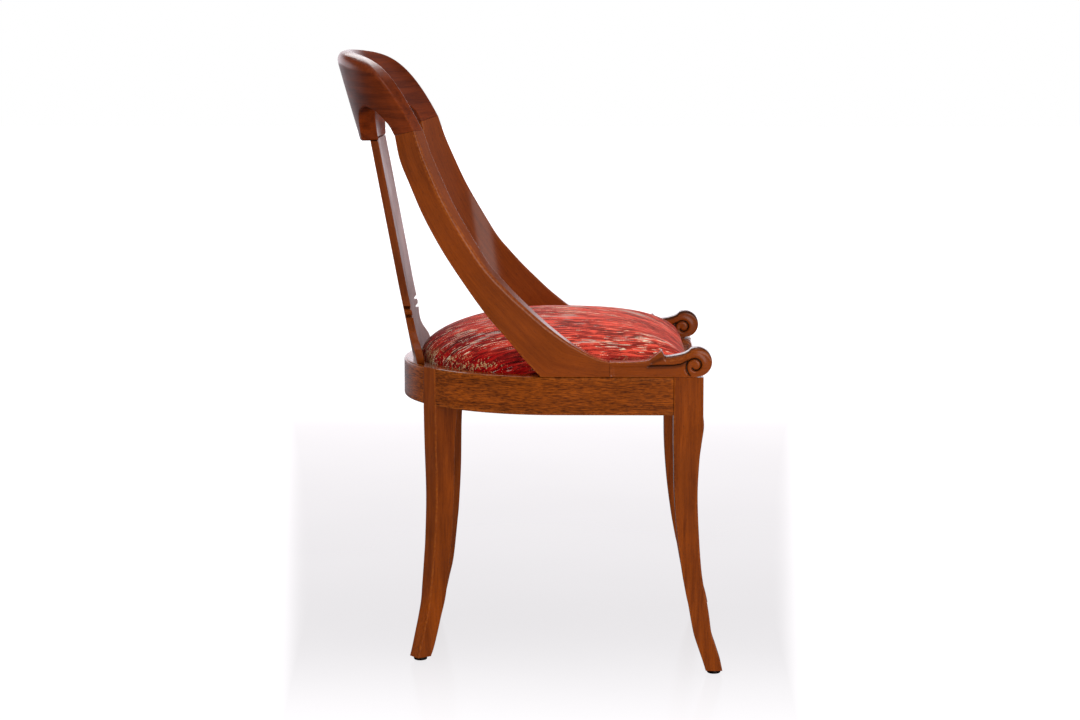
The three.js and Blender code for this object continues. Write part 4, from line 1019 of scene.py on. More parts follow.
def rail_section(rim, thickness):
    """Round the section: inward distance and height, up the outer face, over the rim, down to
    the ledge and back under, with rounded arrises. Rim may change from station to station."""
    rim = np.reshape(rim, (-1, 1)).astype(float)
    quarter = np.linspace(0, math.pi / 2, 4)
    small = 0.8
    rows = [(RAIL_ARRIS * (1 - np.cos(quarter[::-1])) * 0 + RAIL_ARRIS * (1 - np.sin(quarter)), RAIL_BOTTOM + RAIL_ARRIS * (1 - np.cos(quarter)), 1)]
    rows.append((np.zeros(RAIL_UP_STEPS), np.linspace(RAIL_BOTTOM + RAIL_ARRIS, SEAT_TOP - RAIL_ARRIS, RAIL_UP_STEPS + 2)[1:-1], 0))
    rows.append((RAIL_ARRIS * (1 - np.cos(quarter)), SEAT_TOP - RAIL_ARRIS * (1 - np.sin(quarter)), 1))
    d = [np.broadcast_to(r[0], (len(rim), len(r[0]))) for r in rows]
    z = [np.broadcast_to(r[1], (len(rim), len(r[1]))) for r in rows]
    e = [np.full(r[0].shape, r[2]) for r in rows]
    share = np.linspace(0, 1, 5)[1:-1]
    d.append(RAIL_ARRIS + (rim - small - RAIL_ARRIS) * share)
    z.append(np.full((len(rim), 3), SEAT_TOP))
    e.append(np.zeros(3))
    d.append(rim - small + small * np.sin(quarter))
    z.append(np.broadcast_to(SEAT_TOP - small * (1 - np.cos(quarter)), (len(rim), 4)))
    e.append(np.ones(4))
    d.append(np.broadcast_to(rim, (len(rim), 1)))
    z.append(np.full((len(rim), 1), LEDGE_TOP))
    e.append(np.zeros(1))
    inner = np.array([thickness, thickness])
    d.append(np.broadcast_to(inner, (len(rim), 2)))
    z.append(np.broadcast_to([LEDGE_TOP, RAIL_BOTTOM], (len(rim), 2)))
    e.append(np.zeros(2))
    return np.hstack(d), np.hstack(z), np.broadcast_to(np.concatenate(e), (len(rim), sum(len(v) for v in e)))


def side_rail_grid(side):
    """Straight: x = half-width - d. Round: radius half-width - d, to the angle at which the rear
    leg's flat side cuts that radius."""
    start = -(SEAT_FRONT - FRONT_LEG_DEPTH) + PLAY
    straight = np.linspace(start, 0, 24)[:-1]
    bend = np.linspace(0, 1, 60)
    d, z, edge = rail_section(np.full(len(straight) + len(bend), SIDE_RIM), RAIL_THICKNESS)
    radius = SEAT_HALF_WIDTH - d
    last = END_ANGLE - np.arcsin((REAR_LEG_WIDTH / 2 + PLAY) / radius)
    part = np.concatenate([np.zeros(len(straight)), bend])[:, None]
    y0 = np.concatenate([straight, np.zeros(len(bend))])[:, None]
    angle = part * last
    points = np.stack([side * radius * np.cos(angle), y0 + radius * np.sin(angle), z], -1)
    run = y0 + SEAT_HALF_WIDTH * angle
    return points, np.stack([run, z, d], -1) * MM, edge


def back_rail_grid():
    bend = np.linspace(-1, 1, 90)
    d, z, edge = rail_section(np.full(len(bend), SIDE_RIM), RAIL_THICKNESS)
    radius = SEAT_HALF_WIDTH - d
    reach = REAR_LEG_TURN - np.arcsin((REAR_LEG_WIDTH / 2 + PLAY) / radius)
    angle = bend[:, None] * reach
    points = np.stack([radius * np.sin(angle), radius * np.cos(angle), z], -1)
    return points, np.stack([SEAT_HALF_WIDTH * angle, z, d + 900.0], -1) * MM, edge


def front_rail_grid():
    """Straight across, with a rim that widens towards the legs as the well's corners close in."""
    half = SEAT_HALF_WIDTH - FRONT_LEG_WIDTH - PLAY
    x = np.linspace(-half, half, 60)
    corner_x = SEAT_HALF_WIDTH - SIDE_RIM - WELL_CORNER
    past = np.clip(np.abs(x) - corner_x, 0, WELL_CORNER)
    rim = FRONT_RIM + WELL_CORNER - np.sqrt(WELL_CORNER**2 - past**2)
    d, z, edge = rail_section(np.minimum(rim, FRONT_RAIL_THICKNESS - 0.2), FRONT_RAIL_THICKNESS)
    x = np.broadcast_to(x[:, None], d.shape)
    return np.stack([x, d - SEAT_FRONT, z], -1), np.stack([x, z, d + 1700.0], -1) * MM, edge


for name, side in (("right", -1), ("left", 1)):
    mesh = solid_mesh(f"side_rail_{name}_wood", *side_rail_grid(side))
    show(mesh, rail_wood, "frame_mahogany", f"side_rail_{name}")
show(solid_mesh("back_rail_wood", *back_rail_grid()), rail_wood, "frame_mahogany", "back_rail")
show(solid_mesh("front_rail_wood", *front_rail_grid()), rail_wood, "frame_mahogany", "front_rail")

# %% [markdown]
# ## Scroll blocks
# In front of each stile a block carries the line on: a small leaf curls up out of it, and behind that the
# upper moulding rises into a volute. It could be sculpted, but a carver works from a drawn outline and
# cuts one groove round it. So the block is a section carried along the rail, as tall as the outline is at
# each place, and its two faces are pushed in where the carver's gouge went.

# %% Scroll outline and carving
SCROLL_REACH, SCROLL_HEIGHT, SCROLL_WIDTH = 140.0, 41.0, SIDE_RIM
VOLUTE_RADIUS = 20.0
VOLUTE_X, VOLUTE_Y = SCROLL_REACH - VOLUTE_RADIUS, 21.0
EYE_X, EYE_Y = 117.0, 15.8
GROOVE_START, GROOVE_TURN = 236.0, 386.0
SCROLL_TOP = np.array(
    [
        (0, 20.5), (20, 20.5), (36, 21.0), (50, 22.2), (55, 24.2), (60, 27.8), (66, 32.4), (70.5, 35.8),
        (71.6, 36.0), (73.0, 33.5), (74.5, 29.4), (76.5, 28.0), (84, 28.7), (95, 30.6), (103, 32.9),
        (108, 35.6), (111.5, 38.96),
    ]
)
NECK_LINE = np.array([(0, 14.5), (50, 14.8), (58, 15.5), (70, 16.0), (86, 16.2), (97, 18.0), (104, 21.5), (112, 26.0)])


def scroll_heights(x):
    """Top and bottom of the outline: the leaf and neck, then the volute's circle
    y = middle +- sqrt(r^2 - (x - middle)^2)."""
    rim = np.sqrt(np.clip(VOLUTE_RADIUS**2 - (x - VOLUTE_X) ** 2, 0, None))
    carved = np.interp(x, *SCROLL_TOP.T)
    top = np.where(x < SCROLL_TOP[-1, 0], carved, VOLUTE_Y + rim)
    bottom = np.where(x < VOLUTE_X, 0.0, np.maximum(VOLUTE_Y - rim, 0.0))
    return bottom, np.maximum(top, bottom + 0.02)


def step(value, soft):
    """Smooth 0 to 1 as the value passes from -soft to soft: t^2 (3 - 2 t)."""
    t = np.clip((value + soft) / (2 * soft), 0, 1)
    return t * t * (3 - 2 * t)


def carving(x, y):
    """Depth of the gouge at a place on the face: the spiral groove, the field sunk under the
    neck, a dip under the leaf and a cove round the groove. And the painted shade at each place:
    dark in the groove, along the neck's lower line, under the neck and under the leaf."""
    away = np.hypot(x - EYE_X, y - EYE_Y)
    angle = np.degrees(np.arctan2(y - EYE_Y, x - EYE_X))
    turned = np.mod(GROOVE_START - angle, 360)
    groove = np.zeros_like(x)
    nearest = np.full_like(x, 99.0)
    for lap in (-360.0, 0.0, 360.0):
        phi = turned + lap
        radius = 12.2 - 6.9 * phi / GROOVE_TURN + 2.6 * np.exp(-np.maximum(phi, -20) / 42)
        inside = step(phi + 10, 6) * step(GROOVE_TURN - phi, 14)
        gap = np.abs(away - radius)
        groove = np.maximum(groove, inside * np.exp(-((gap / 1.25) ** 2)))
        nearest = np.where(inside > 0.5, np.minimum(nearest, gap), nearest)
    neck = y - np.interp(x, *NECK_LINE.T)
    before_volute = step(106.8 - x, 1.4)
    field = step(-neck, 0.9) * before_volute * step(x - 4, 3)
    line = np.exp(-((neck / 1.1) ** 2)) * before_volute * step(x - 52, 3)
    leaf = np.exp(-(((y - 20.5 - 0.45 * (x - 60)) / 2.2) ** 2)) * step(x - 56, 3) * step(82 - x, 4)
    eye = 0.7 * np.exp(-((away / 3.4) ** 2))
    sunk = 2.6 * groove + 1.4 * field + 1.4 * line + 0.9 * leaf - eye
    cove = 0.5 - 0.5 * np.exp(-(((nearest - 4) / 3.5) ** 2))
    under_neck = np.exp(-(((neck + 2.2) / 2.6) ** 2)) * before_volute * step(x - 50, 5)
    # Painted shade: dark in the groove, along the neck's lower line, under the neck and under the leaf.
    dark = groove + 0.75 * line + 0.5 * under_neck + 0.5 * leaf
    return sunk + cove, np.clip(dark, 0, 1)


def scroll_grid(side):
    """Stations along the block; the loop climbs the outer face, crosses the top and comes down
    the inner face. Faces go in by the carving's depth, faded out at the arrises. Last comes the
    painted shade: the carving's, and a dark band over the top of the neck and volute."""
    x = np.concatenate([np.linspace(0, 128, 230)[:-1], 128 + 12 * np.sin(np.linspace(0, math.pi / 2, 34))])
    x[-1] = SCROLL_REACH - 0.005
    bottom, top = scroll_heights(x)
    tall = top - bottom
    soft = np.minimum(2.2, tall / 2.5)
    low = np.minimum(0.6, tall / 6)
    rolled = step(x - 71.5, 1.5)
    inner = np.minimum(soft + 2.8 * rolled, tall / 2.5)
    outer = np.minimum(soft + 5.0 * rolled, tall / 2.5)
    radii = np.stack([low, low, inner, outer], -1)
    deep, up, edge = soft_loop(np.full(len(x), SCROLL_WIDTH), tall, radii, (8, 44), 4)
    along = np.broadcast_to(x[:, None], deep.shape)
    y = bottom[:, None] + up
    on_face = 1 - np.clip(np.minimum(deep, SCROLL_WIDTH - deep) / 3.0, 0, 1)
    fade = np.clip(np.minimum(up, tall[:, None] - up) / 2.5, 0, 1)
    depth, dark = carving(along, y)
    sink = np.clip(depth, -0.2, 3.4) * on_face * fade
    inward = np.where(deep < SCROLL_WIDTH / 2, deep + sink, deep - sink)
    x_out = side * (SEAT_HALF_WIDTH - inward)
    points = np.stack([x_out, -STILE_FOOT_REACH - PLAY - along, SEAT_TOP + PLAY + y], -1)
    grain = np.stack([along, y, inward + 50.0 * side], -1) * MM
    # Painted shade: a dark band along the top of the neck and the volute.
    on_top = np.clip((up - tall[:, None] + outer[:, None] * 0.6) / 1.5, 0, 1)
    crown = 0.85 * on_top * np.clip((deep - 1.0) / 2.5, 0, 1) * rolled[:, None]
    return points, grain, edge * 0.8, np.maximum(dark * on_face * fade, crown)


for name, side in (("right", -1), ("left", 1)):
    mesh = solid_mesh(f"scroll_{name}_wood", *scroll_grid(side), sharp=50.0)
    show(mesh, stile_wood, "golden_mahogany", f"scroll_block_{name}")

# %% [markdown]
# ## Glides
# Under each foot is a dark steel button, turned on a lathe with a rolled rim. A cylinder with a bevel is
# quicker, but a turned profile gives the shallow dome that it stands on.

# %% Glides
GLIDE_PROFILE = np.array(
    [(0.02, 0.0), (5.5, 0.0), (7.6, 0.35), (8.9, 1.0), (9.5, 2.0), (9.5, 3.2), (9.1, 4.3), (8.0, 4.9), (0.02, 5.0)]
)


def glide_grid(kind, side):
    """Radius and height of the profile, turned round the foot's middle."""
    shares, depth, width = (
        (FRONT_LEG_SHARES, FRONT_LEG_DEPTH, FRONT_LEG_WIDTH)
        if kind == "front"
        else (REAR_LEG_SHARES, REAR_LEG_DEPTH, REAR_LEG_WIDTH)
    )
    _, reach, deep, wide = shares[-1]
    own_x = (side if kind == "front" else 0) * width * (1 - wide) / 2
    cx, cy = turned_out(own_x, depth * deep / 2 - SABRE_KICK * reach, *leg_seat(kind, side))
    profile = smooth_rows(GLIDE_PROFILE, 25)
    around = np.linspace(0, 2 * math.pi, 32, endpoint=False)
    radius = np.clip(profile[:, :1], 0.02, 9.5)
    z = np.clip(profile[:, 1:], 0.0, GLIDE_HEIGHT)
    x, y = cx + radius * np.cos(around), cy + radius * np.sin(around)
    return np.stack([x, y, np.broadcast_to(z, x.shape)], -1)


def plain_metal(name, colour, rough, scale):
    """Metal with a brushed noise in its roughness and a fine bump."""
    material, tree, shader = new_material(name)
    place = object_place(tree)
    scratches = noise(tree, stretched(tree, place, (scale, scale, scale * 6)), 1.0, 6.0, 0.7)
    tone = between(tree, scratches, 0.3, 0.7)
    dark = [c * 0.55 for c in linear(colour)[:3]] + [1.0]
    wire(tree, blend_colours(tree, tone, dark, linear(colour)), shader.inputs["Base Color"])
    wire(tree, between(tree, scratches, 0.3, 0.7, rough, rough + 0.2), shader.inputs["Roughness"])
    shader.inputs["Metallic"].default_value = 1.0
    wire(tree, add_bump(tree, scratches, 0.2, 0.0001), shader.inputs["Normal"])
    return material


dark_steel = plain_metal("darkened_steel", "4a423d", 0.35, 240.0)
bright_steel = plain_metal("screw_steel", "b4b2ae", 0.28, 300.0)
for kind in ("front", "rear"):
    for name, side in (("right", -1), ("left", 1)):
        mesh = solid_mesh(f"{kind}_glide_{name}", glide_grid(kind, side))
        show(mesh, dark_steel, "dark_steel", f"glide_{kind}_{name}")

# %% [markdown]
# ## The slip seat
# The seat is a board with a tall domed filling, covered in a streaky satin jacquard that is pulled down
# and turned under. Nothing is piped: the cloth goes straight into the well. The form is a set of rings
# that climb the dome, each one the horseshoe drawn in and rounder than the last. Real cloth also pulls: it
# sags a little between its corners and gathers at the two front ones, so the rings are pushed about a little to
# follow.

# %% Cushion
SEAT_CROWN = 69.0
DOME_POWER = 2.05
SEAT_DRAW_IN = 3.0
SEAT_EDGE_RISE = 2.0
HEM_WIDTH = 20.0
CUSHION_AROUND = 288
DOME_ROWS = 64


def seat_ring(count, inset, share, draw_in):
    """The horseshoe drawn in along its normals, pulled back in front, and shrunk by share while
    it is blended towards a circle. Share and draw_in may be columns, one row each."""
    x, y, nx, ny = horseshoe(count)
    half, front = SEAT_HALF_WIDTH - SIDE_RIM, SEAT_FRONT - FRONT_RIM
    pull = np.where(y < 0, draw_in * (1 - (x / half) ** 2) * (y / front) ** 2, 0)
    x, y = x - nx * inset, y - ny * inset + pull
    circle = (half - inset) / np.hypot(x, y)
    rounder = circle + (1 - circle) * share
    return x * share * rounder, y * share * rounder


def cushion_grid():
    """Rows from under the hem, up the side, and over the dome: height = base + rise sin^(2/p),
    share of the plan = cos^(2/p). The lowest row and the crown close as flat faces."""
    inset = PLAY
    base = SEAT_TOP + SEAT_EDGE_RISE
    bottom = LEDGE_TOP + PLAY
    under = np.array([(70.0, 1.2), (40.0, 0.9), (20.0, 0.3), (8.0, 0.05), (3.0, 0.2), (1.2, 0.9), (0.35, 2.2)])
    rows_x, rows_y, rows_z = [], [], []
    for more, lift in under:
        x, y = seat_ring(CUSHION_AROUND, inset + more, 1.0, 0.0)
        rows_x.append(x), rows_y.append(y), rows_z.append(np.full_like(x, bottom + lift))
    for z in np.linspace(bottom + 4.0, base, 7)[:-1]:
        x, y = seat_ring(CUSHION_AROUND, inset, 1.0, 0.0)
        rows_x.append(x), rows_y.append(y), rows_z.append(np.full_like(x, z))
    angle = (np.linspace(0, 1, DOME_ROWS, endpoint=False) ** 0.9 * math.pi / 2)[:, None]
    share = np.cos(angle) ** (2 / DOME_POWER)
    x, y = seat_ring(CUSHION_AROUND, inset, share, SEAT_DRAW_IN * np.sin(2 * angle))
    rise = SEAT_TOP + SEAT_CROWN - base
    z = np.broadcast_to(base + rise * np.sin(angle) ** (2 / DOME_POWER), x.shape)
    points = np.stack([np.vstack([rows_x, x]), np.vstack([rows_y, y]), np.vstack([rows_z, z])], -1)
    return points


def cloth_places(points):
    """Place in the flat cloth, in metres: direction from the crown times the length of thread
    from the crown down to the point."""
    steps = np.linalg.norm(np.diff(points[::-1], axis=0), axis=-1)
    crown = np.hypot(points[-1, :, 0], points[-1, :, 1])
    thread = np.vstack([crown, crown + np.cumsum(steps, axis=0)])[::-1]
    outer = points[7]
    direction = outer[:, :2] / np.hypot(outer[:, 0], outer[:, 1])[:, None]
    flat = thread[..., None] * direction[None]
    return np.dstack([flat, points[..., 2]]) * MM


def soften(points):
    """Hand-stuffed unevenness: a few slow waves over the dome, and short gathers that fan out
    from the two front corners and die away a third of the way up."""
    x, y, z = np.moveaxis(points, -1, 0)
    lift = np.clip((z - SEAT_TOP) / SEAT_CROWN, 0, 1)
    over = np.sin(np.pi * np.clip(lift, 0, 1) * 0.9)
    waves = 0.9 * np.sin(x / 37 + 0.8) * np.cos(y / 43 - 0.4) + 0.6 * np.sin((x + y) / 23 + 1.7)
    corner_x = SEAT_HALF_WIDTH - SIDE_RIM - 0.3 * WELL_CORNER
    corner_y = -(SEAT_FRONT - FRONT_RIM - 0.3 * WELL_CORNER)
    near = np.exp(-(((np.abs(x) - corner_x) / 34) ** 2) - ((y - corner_y) / 34) ** 2)
    fan = np.arctan2(y - corner_y - 40, np.abs(x) - corner_x + 40)
    low = np.exp(-(((lift - 0.14) / 0.16) ** 2))
    gathers = -1.1 * near * low * np.sin(fan * 26) ** 2
    out = np.stack([x, y, np.zeros_like(x)], -1)
    out /= np.maximum(np.linalg.norm(out, axis=-1, keepdims=True), 1e-6)
    up = np.stack([0 * x, 0 * x, lift], -1)
    return points + up * (waves * over)[..., None] * 0.8 + out * (gathers + 0.5 * waves * over * (1 - lift))[..., None]


# %% [markdown]
# The jacquard is coral red with broken streaks of cream, grey-beige and black that run mostly from back to
# front, over a fine dotted weave. The streaks are noise stretched along the seat and cut off at a level,
# and the weave is a small checker of waves. They read the cloth's own places, so they bend over the edge
# as cloth does. Under them, light is painted into the red: a lighter coral over the top of the dome and
# towards the front, a deeper red lower down the sides and at the back.


# %% The weave group
def make_streak_group():
    """A streak mask: stretched noise above a level, broken by a second noise and by the weave."""
    tree, start, end = new_group(
        "streaks",
        [
            ("Vector", "Vector", None),
            ("Stretch", "Vector", (10.0, 4.0, 1.0)),
            ("Slant", "Float", 0.0),
            ("Level", "Float", 0.6),
            ("Soft", "Float", 0.025),
            ("Seed", "Float", 0.0),
            ("Weave", "Float", 1.0),
            ("Broken", "Float", 0.5),
        ],
        [("Mask", "Float")],
    )
    given = start.outputs
    turn = tree.nodes.new("ShaderNodeVectorRotate")
    turn.rotation_type = "Z_AXIS"
    wire(tree, given["Vector"], turn.inputs["Vector"])
    wire(tree, given["Slant"], turn.inputs["Angle"])
    offset = tree.nodes.new("ShaderNodeCombineXYZ")
    wire(tree, given["Seed"], offset.inputs[0])
    wire(tree, given["Seed"], offset.inputs[1])
    placed = stretched(tree, turn.outputs[0], given["Stretch"], offset.outputs[0])
    long_noise = noise(tree, placed, 1.0, 2.0, 0.5, 0.25)
    patch = noise(tree, stretched(tree, turn.outputs[0], (30.0, 11.0, 1.0), offset.outputs[0]), 1.0, 2.0)
    lifted = math_node(
        tree, "MULTIPLY_ADD", math_node(tree, "SUBTRACT", patch, 0.5), given["Broken"], long_noise
    )
    high = math_node(tree, "ADD", given["Level"], given["Soft"])
    mask = between(tree, lifted, given["Level"], high)
    wire(tree, math_node(tree, "MULTIPLY", mask, given["Weave"], clamp=True), end.inputs["Mask"])
    return tree


def make_weave_group():
    """Threads: sin(x / pitch) x sin(y / pitch), as a height and as dots between 0 and 1."""
    tree, start, end = new_group(
        "weave",
        [("Vector", "Vector", None), ("Threads", "Float", 2400.0)],
        [("Height", "Float"), ("Dots", "Float")],
    )
    given = start.outputs
    wobble = noise(tree, stretched(tree, given["Vector"], (160.0, 160.0, 1.0)), 1.0, 2.0)
    parts = tree.nodes.new("ShaderNodeSeparateXYZ")
    wire(tree, given["Vector"], parts.inputs[0])
    waves = [
        math_node(
            tree,
            "SINE",
            math_node(tree, "MULTIPLY_ADD", parts.outputs[k], given["Threads"], math_node(tree, "MULTIPLY", wobble, 3.0)),
        )
        for k in (0, 1)
    ]
    product = math_node(tree, "MULTIPLY", *waves)
    wire(tree, product, end.inputs["Height"])
    wire(tree, between(tree, product, -0.6, 0.5), end.inputs["Dots"])
    return tree


streak_group, weave_group = make_streak_group(), make_weave_group()
print("cloth groups:", len(streak_group.nodes), len(weave_group.nodes), "nodes")


# %% Jacquard
def make_jacquard():
    material, tree, shader = new_material("jacquard_cloth")
    place = attribute(tree, "cloth", "Vector")
    weave = add_group(tree, weave_group, Vector=place, Threads=1900.0)
    dots = between(tree, weave.outputs["Dots"], 0.0, 1.0, 0.35, 1.0)
    parts = tree.nodes.new("ShaderNodeSeparateXYZ")
    wire(tree, place, parts.inputs[0])
    # Painted light and shade: coral higher on the dome and towards the front, deep red lower down and at the back,
    # varied by a random cloud.
    climb = between(tree, parts.outputs[2], 0.425, 0.475, 0.0, 0.65)
    forward = between(tree, parts.outputs[1], 0.18, -0.12, 0.0, 0.75)
    cloud = between(tree, noise(tree, stretched(tree, place, (46.0, 8.0, 1.0)), 1.0, 4.0, 0.6, 0.4), 0.3, 0.7, -0.35, 0.35)
    lit = math_node(tree, "ADD", math_node(tree, "ADD", climb, forward), cloud)
    colour = blend_colours(tree, between(tree, lit, 0.1, 1.25), linear("aa0204"), linear("f65640"))
    streaks = [
        ("7c0406", (190.0, 13.0, 1.0), 0.06, 0.55, 3.0, 0.25),
        ("ea4e36", (500.0, 34.0, 1.0), 0.08, 0.62, 51.0, 0.3),
        ("4c0204", (520.0, 40.0, 1.0), -0.04, 0.55, 37.0, 0.3),
        ("100202", (600.0, 56.0, 1.0), 0.02, 0.595, 71.0, 0.5),
        ("fff0cc", (620.0, 56.0, 1.0), 0.05, 0.675, 11.0, 0.5),
        ("c4bcae", (480.0, 44.0, 1.0), 0.00, 0.735, 23.0, 1.2),
        ("0c0606", (520.0, 46.0, 1.0), 0.00, 0.69, 29.0, 1.2),
    ]
    for code, stretch, slant, level, seed, broken in streaks:
        streak = add_group(
            tree, streak_group, Vector=place, Stretch=stretch, Slant=slant, Level=level, Seed=seed, Weave=dots, Broken=broken
        )
        colour = blend_colours(tree, streak.outputs["Mask"], colour, linear(code))
    low = math_node(tree, "MULTIPLY", between(tree, parts.outputs[2], 0.446, 0.424), dots)
    sprig = add_group(
        tree, streak_group, Vector=place, Stretch=(240.0, 520.0, 1.0), Slant=0.5, Level=0.61, Seed=61.0, Weave=low, Broken=0.8
    )
    colour = blend_colours(tree, sprig.outputs["Mask"], colour, linear("cdb27e"))
    shaded = between(tree, weave.outputs["Dots"], 0.0, 1.0, 0.72, 1.06)
    tint = tree.nodes.new("ShaderNodeCombineXYZ")
    for socket in tint.inputs:
        wire(tree, shaded, socket)
    colour = blend_colours(tree, 1.0, colour, tint.outputs[0], "MULTIPLY")
    wire(tree, colour, shader.inputs["Base Color"])
    wire(tree, between(tree, weave.outputs["Dots"], 0.0, 1.0, 0.8, 0.6), shader.inputs["Roughness"])
    shader.inputs["Sheen Weight"].default_value = 0.02
    shader.inputs["Sheen Roughness"].default_value = 0.4
    shader.inputs["Sheen Tint"].default_value = (1.0, 0.5, 0.4, 1.0)
    shader.inputs["Specular IOR Level"].default_value = 0.08
    wire(tree, add_bump(tree, weave.outputs["Height"], 0.35, 0.0003), shader.inputs["Normal"])
    return material


jacquard = make_jacquard()


def make_cushion():
    points = soften(cushion_grid())
    places = cloth_places(points)
    mesh = solid_mesh("cushion", points, sharp=80.0)
    layer = mesh.attributes.new("cloth", "FLOAT_VECTOR", "POINT")
    layer.data.foreach_set("vector", np.ascontiguousarray(places, np.float32).ravel())
    return mesh


cushion = show(make_cushion(), jacquard, "jacquard", "seat_cover", "seat_foam")

# %% [markdown]
# ## Hidden wood and cloth
# Under the seat are plain beech blocks and dowels, a plywood board and a thin black cloth. They keep the
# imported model's shapes, which are right as they are, and only get a finish.


# %% Plain finishes
def bare_wood(name, dark, pale, upright=False, **figure):
    material, tree, shader = new_material(name)
    vector = object_place(tree)
    if upright:
        vector = turned_upright(tree, vector)
    wood = add_group(tree, wood_group, Vector=vector, Dark=linear(dark), Pale=linear(pale), **figure)
    wire(tree, wood.outputs["Color"], shader.inputs["Base Color"])
    wire(tree, between(tree, wood.outputs["Roughness"], 0.0, 1.0, 0.6, 0.8), shader.inputs["Roughness"])
    wire(tree, add_bump(tree, wood.outputs["Height"], 0.4, 0.0003), shader.inputs["Normal"])
    return material


def make_lining():
    material, tree, shader = new_material("black_lining")
    place = object_place(tree)
    weave = add_group(tree, weave_group, Vector=place, Threads=4200.0)
    colour = blend_colours(tree, weave.outputs["Dots"], (0.008, 0.008, 0.008, 1), (0.03, 0.028, 0.026, 1))
    wire(tree, colour, shader.inputs["Base Color"])
    wire(tree, between(tree, weave.outputs["Dots"], 0.0, 1.0, 0.8, 0.95), shader.inputs["Roughness"])
    wire(tree, add_bump(tree, weave.outputs["Height"], 0.4, 0.0002), shader.inputs["Normal"])
    return material


finishes = {
    "beech": bare_wood("bare_beech", "a27a4c", "d6b588", Ribbon=0.3, Fibre=0.5, Ripple=0.1, Pores=0.25, Seed=3.3),
    "plywood": bare_wood("bare_plywood", "9a7748", "cfae7c", Ribbon=0.6, Fibre=0.4, Ripple=0.2, Pores=0.2, Seed=6.1),
    "steel": bright_steel,
    "black_cloth": make_lining(),
}
slots = {row["node"]: row["material_slot"] for row in frame["record"]["subparts"]}
dressed = 0
for node, slot in slots.items():
    if slot in finishes:
        thing = frame["nodes"][node]
        thing.data.materials.clear()
        thing.data.materials.append(finishes[slot])
        dressed += 1
print(dressed, "carried-over pieces have their own finish")

# %% [markdown]
# ## Floor and light
# The chair stands in a white studio. The polish is what the light has to show, so the room is bright all
# round and brighter from above, with a lamp behind the chair and one beside the camera to draw a line down
# every arris. A lit photograph of a room would give richer reflections, but it would be an image.


# %% Floor and light
# The floor's glow, dimmer in a band of painted shade under the chair; where along X that band is darkest, and how far
# it fades nearer and farther.
FLOOR_POOL, FLOOR_WHITE = 0.73, 1.0
POOL_DARKEST, POOL_NEARER, POOL_FARTHER = 0.32, 1.2, 4.5
WORLD_SIDES, WORLD_ABOVE = (0.55, 0.54, 0.56, 1), (1.35, 1.33, 1.36, 1)


def make_floor():
    """A floor that glows white to the camera and to diffuse light, but for a soft grey band of painted
    shade under the chair, which fades to either side, slowly away from the camera and sooner towards it."""
    size = 14.0
    mesh = bpy.data.meshes.new("floor")
    corners = [(-size, -size, 0), (size, -size, 0), (size, size, 0), (-size, size, 0)]
    mesh.from_pydata(corners, [], [(0, 1, 2, 3)])
    floor = bpy.data.objects.new("floor", mesh)
    bpy.context.scene.collection.objects.link(floor)
    material, tree, shader = new_material("studio_floor")
    place = object_place(tree)
    cloud = noise(tree, stretched(tree, place, (2.3, 2.3, 2.3)), 1.0, 2.0)
    colour = blend_colours(tree, between(tree, cloud, 0.3, 0.7), (0.03, 0.028, 0.03, 1), (0.04, 0.038, 0.04, 1))
    wire(tree, colour, shader.inputs["Base Color"])
    shader.inputs["Roughness"].default_value = 0.16
    shader.inputs["Specular IOR Level"].default_value = 0.01
    parts = tree.nodes.new("ShaderNodeSeparateXYZ")
    wire(tree, place, parts.inputs[0])
    nearer = between(tree, parts.outputs[0], POOL_DARKEST, POOL_DARKEST - POOL_NEARER)
    farther = between(tree, parts.outputs[0], POOL_DARKEST, POOL_DARKEST + POOL_FARTHER)
    ahead = math_node(tree, "SUBTRACT", parts.outputs[0], CAMERA_PLACE[0] * MM)
    across = math_node(tree, "SUBTRACT", parts.outputs[1], CAMERA_PLACE[1] * MM + shift)
    slope = math_node(tree, "DIVIDE", across, ahead)
    aside = math_node(tree, "ABSOLUTE", math_node(tree, "SUBTRACT", slope, CAMERA_YAW))
    past = between(tree, aside, 0.085, 0.105)
    beyond = between(tree, parts.outputs[0], 1.5, 2.6)
    along = math_node(tree, "MAXIMUM", nearer, math_node(tree, "MAXIMUM", farther, beyond))
    # Painted shade: the glow is dimmer in the band under the chair.
    white = between(tree, math_node(tree, "MAXIMUM", along, past), 0.0, 1.0, FLOOR_POOL, FLOOR_WHITE)
    path = tree.nodes.new("ShaderNodeLightPath")
    seen = math_node(tree, "MAXIMUM", path.outputs["Is Camera Ray"], path.outputs["Is Diffuse Ray"])
    shader.inputs["Emission Color"].default_value = (1.0, 0.985, 1.0, 1.0)
    wire(tree, math_node(tree, "MULTIPLY", white, seen), shader.inputs["Emission Strength"])
    mesh.materials.append(material)
    return floor


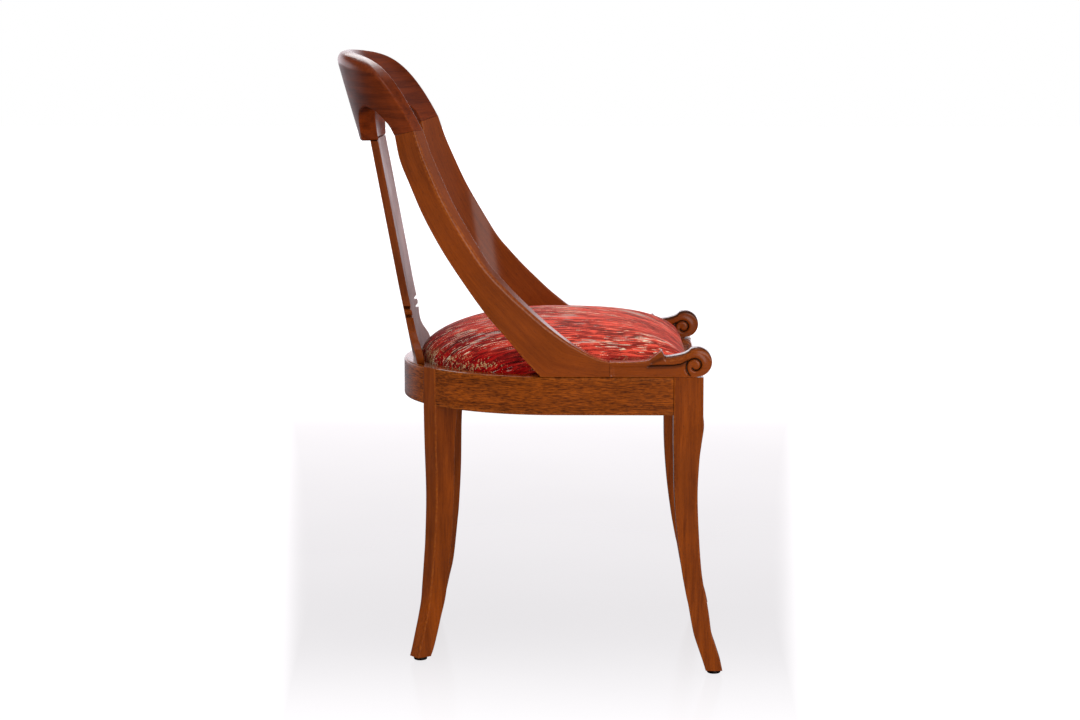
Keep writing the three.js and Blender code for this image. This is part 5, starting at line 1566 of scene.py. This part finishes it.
def make_lamp(name, place, target, size, power, colour):
    data = bpy.data.lights.new(name, "AREA")
    data.shape, data.size, data.size_y = "RECTANGLE", *size
    data.energy, data.color = power, colour
    lamp = bpy.data.objects.new(name, data)
    bpy.context.scene.collection.objects.link(lamp)
    aim = Vector(target) - Vector(place)
    lamp.matrix_world = Matrix.Translation(place) @ aim.to_track_quat("-Z", "Y").to_matrix().to_4x4()
    return lamp


def make_world():
    """White to the camera, and to the diffuse light brighter from above. Reflections see a white
    backdrop behind the chair, a dim front, a small bright patch overhead, and a dark room."""
    world = bpy.data.worlds.new("studio")
    bpy.context.scene.world = world
    world.use_nodes = True
    tree = world.node_tree
    background = tree.nodes["Background"]
    path = tree.nodes.new("ShaderNodeLightPath")
    parts = tree.nodes.new("ShaderNodeSeparateXYZ")
    wire(tree, tree.nodes.new("ShaderNodeTexCoord").outputs["Generated"], parts.inputs[0])
    low = between(tree, parts.outputs[2], 0.32, 0.14)
    facing = math_node(tree, "MULTIPLY_ADD", parts.outputs[1], 0.2, parts.outputs[0])
    behind = math_node(tree, "MULTIPLY", between(tree, facing, 0.62, 0.95), low)
    front = between(tree, parts.outputs[1], -0.5, -0.95, 0.0, 0.25)
    top = between(tree, parts.outputs[2], 0.94, 0.99, 0.0, 1.0)
    bright = math_node(tree, "MAXIMUM", math_node(tree, "MAXIMUM", behind, front), top)
    mirrored = blend_colours(tree, bright, (0.02, 0.018, 0.02, 1), (1.5, 1.36, 1.45, 1))
    above = between(tree, parts.outputs[2], 0.0, 1.0)
    lit = blend_colours(tree, above, WORLD_SIDES, WORLD_ABOVE)
    spread = blend_colours(tree, path.outputs["Is Diffuse Ray"], mirrored, lit)
    colour = blend_colours(tree, path.outputs["Is Camera Ray"], spread, (1.0, 1.0, 1.0, 1))
    wire(tree, colour, background.inputs["Color"])


make_floor()
make_world()
make_lamp("behind", (2.6, 0.4, 2.2), (0.0, 0.0, 0.5), (1.6, 1.2), 20.0, (1.0, 0.99, 1.0))
make_lamp("beside", (-3.2, -1.25, 1.2), (0.0, 0.0, 0.5), (1.5, 2.0), 21.0, (1.0, 0.98, 0.96))
bpy.context.scene.view_settings.view_transform = "Standard"
bpy.context.scene.view_settings.look = "None"
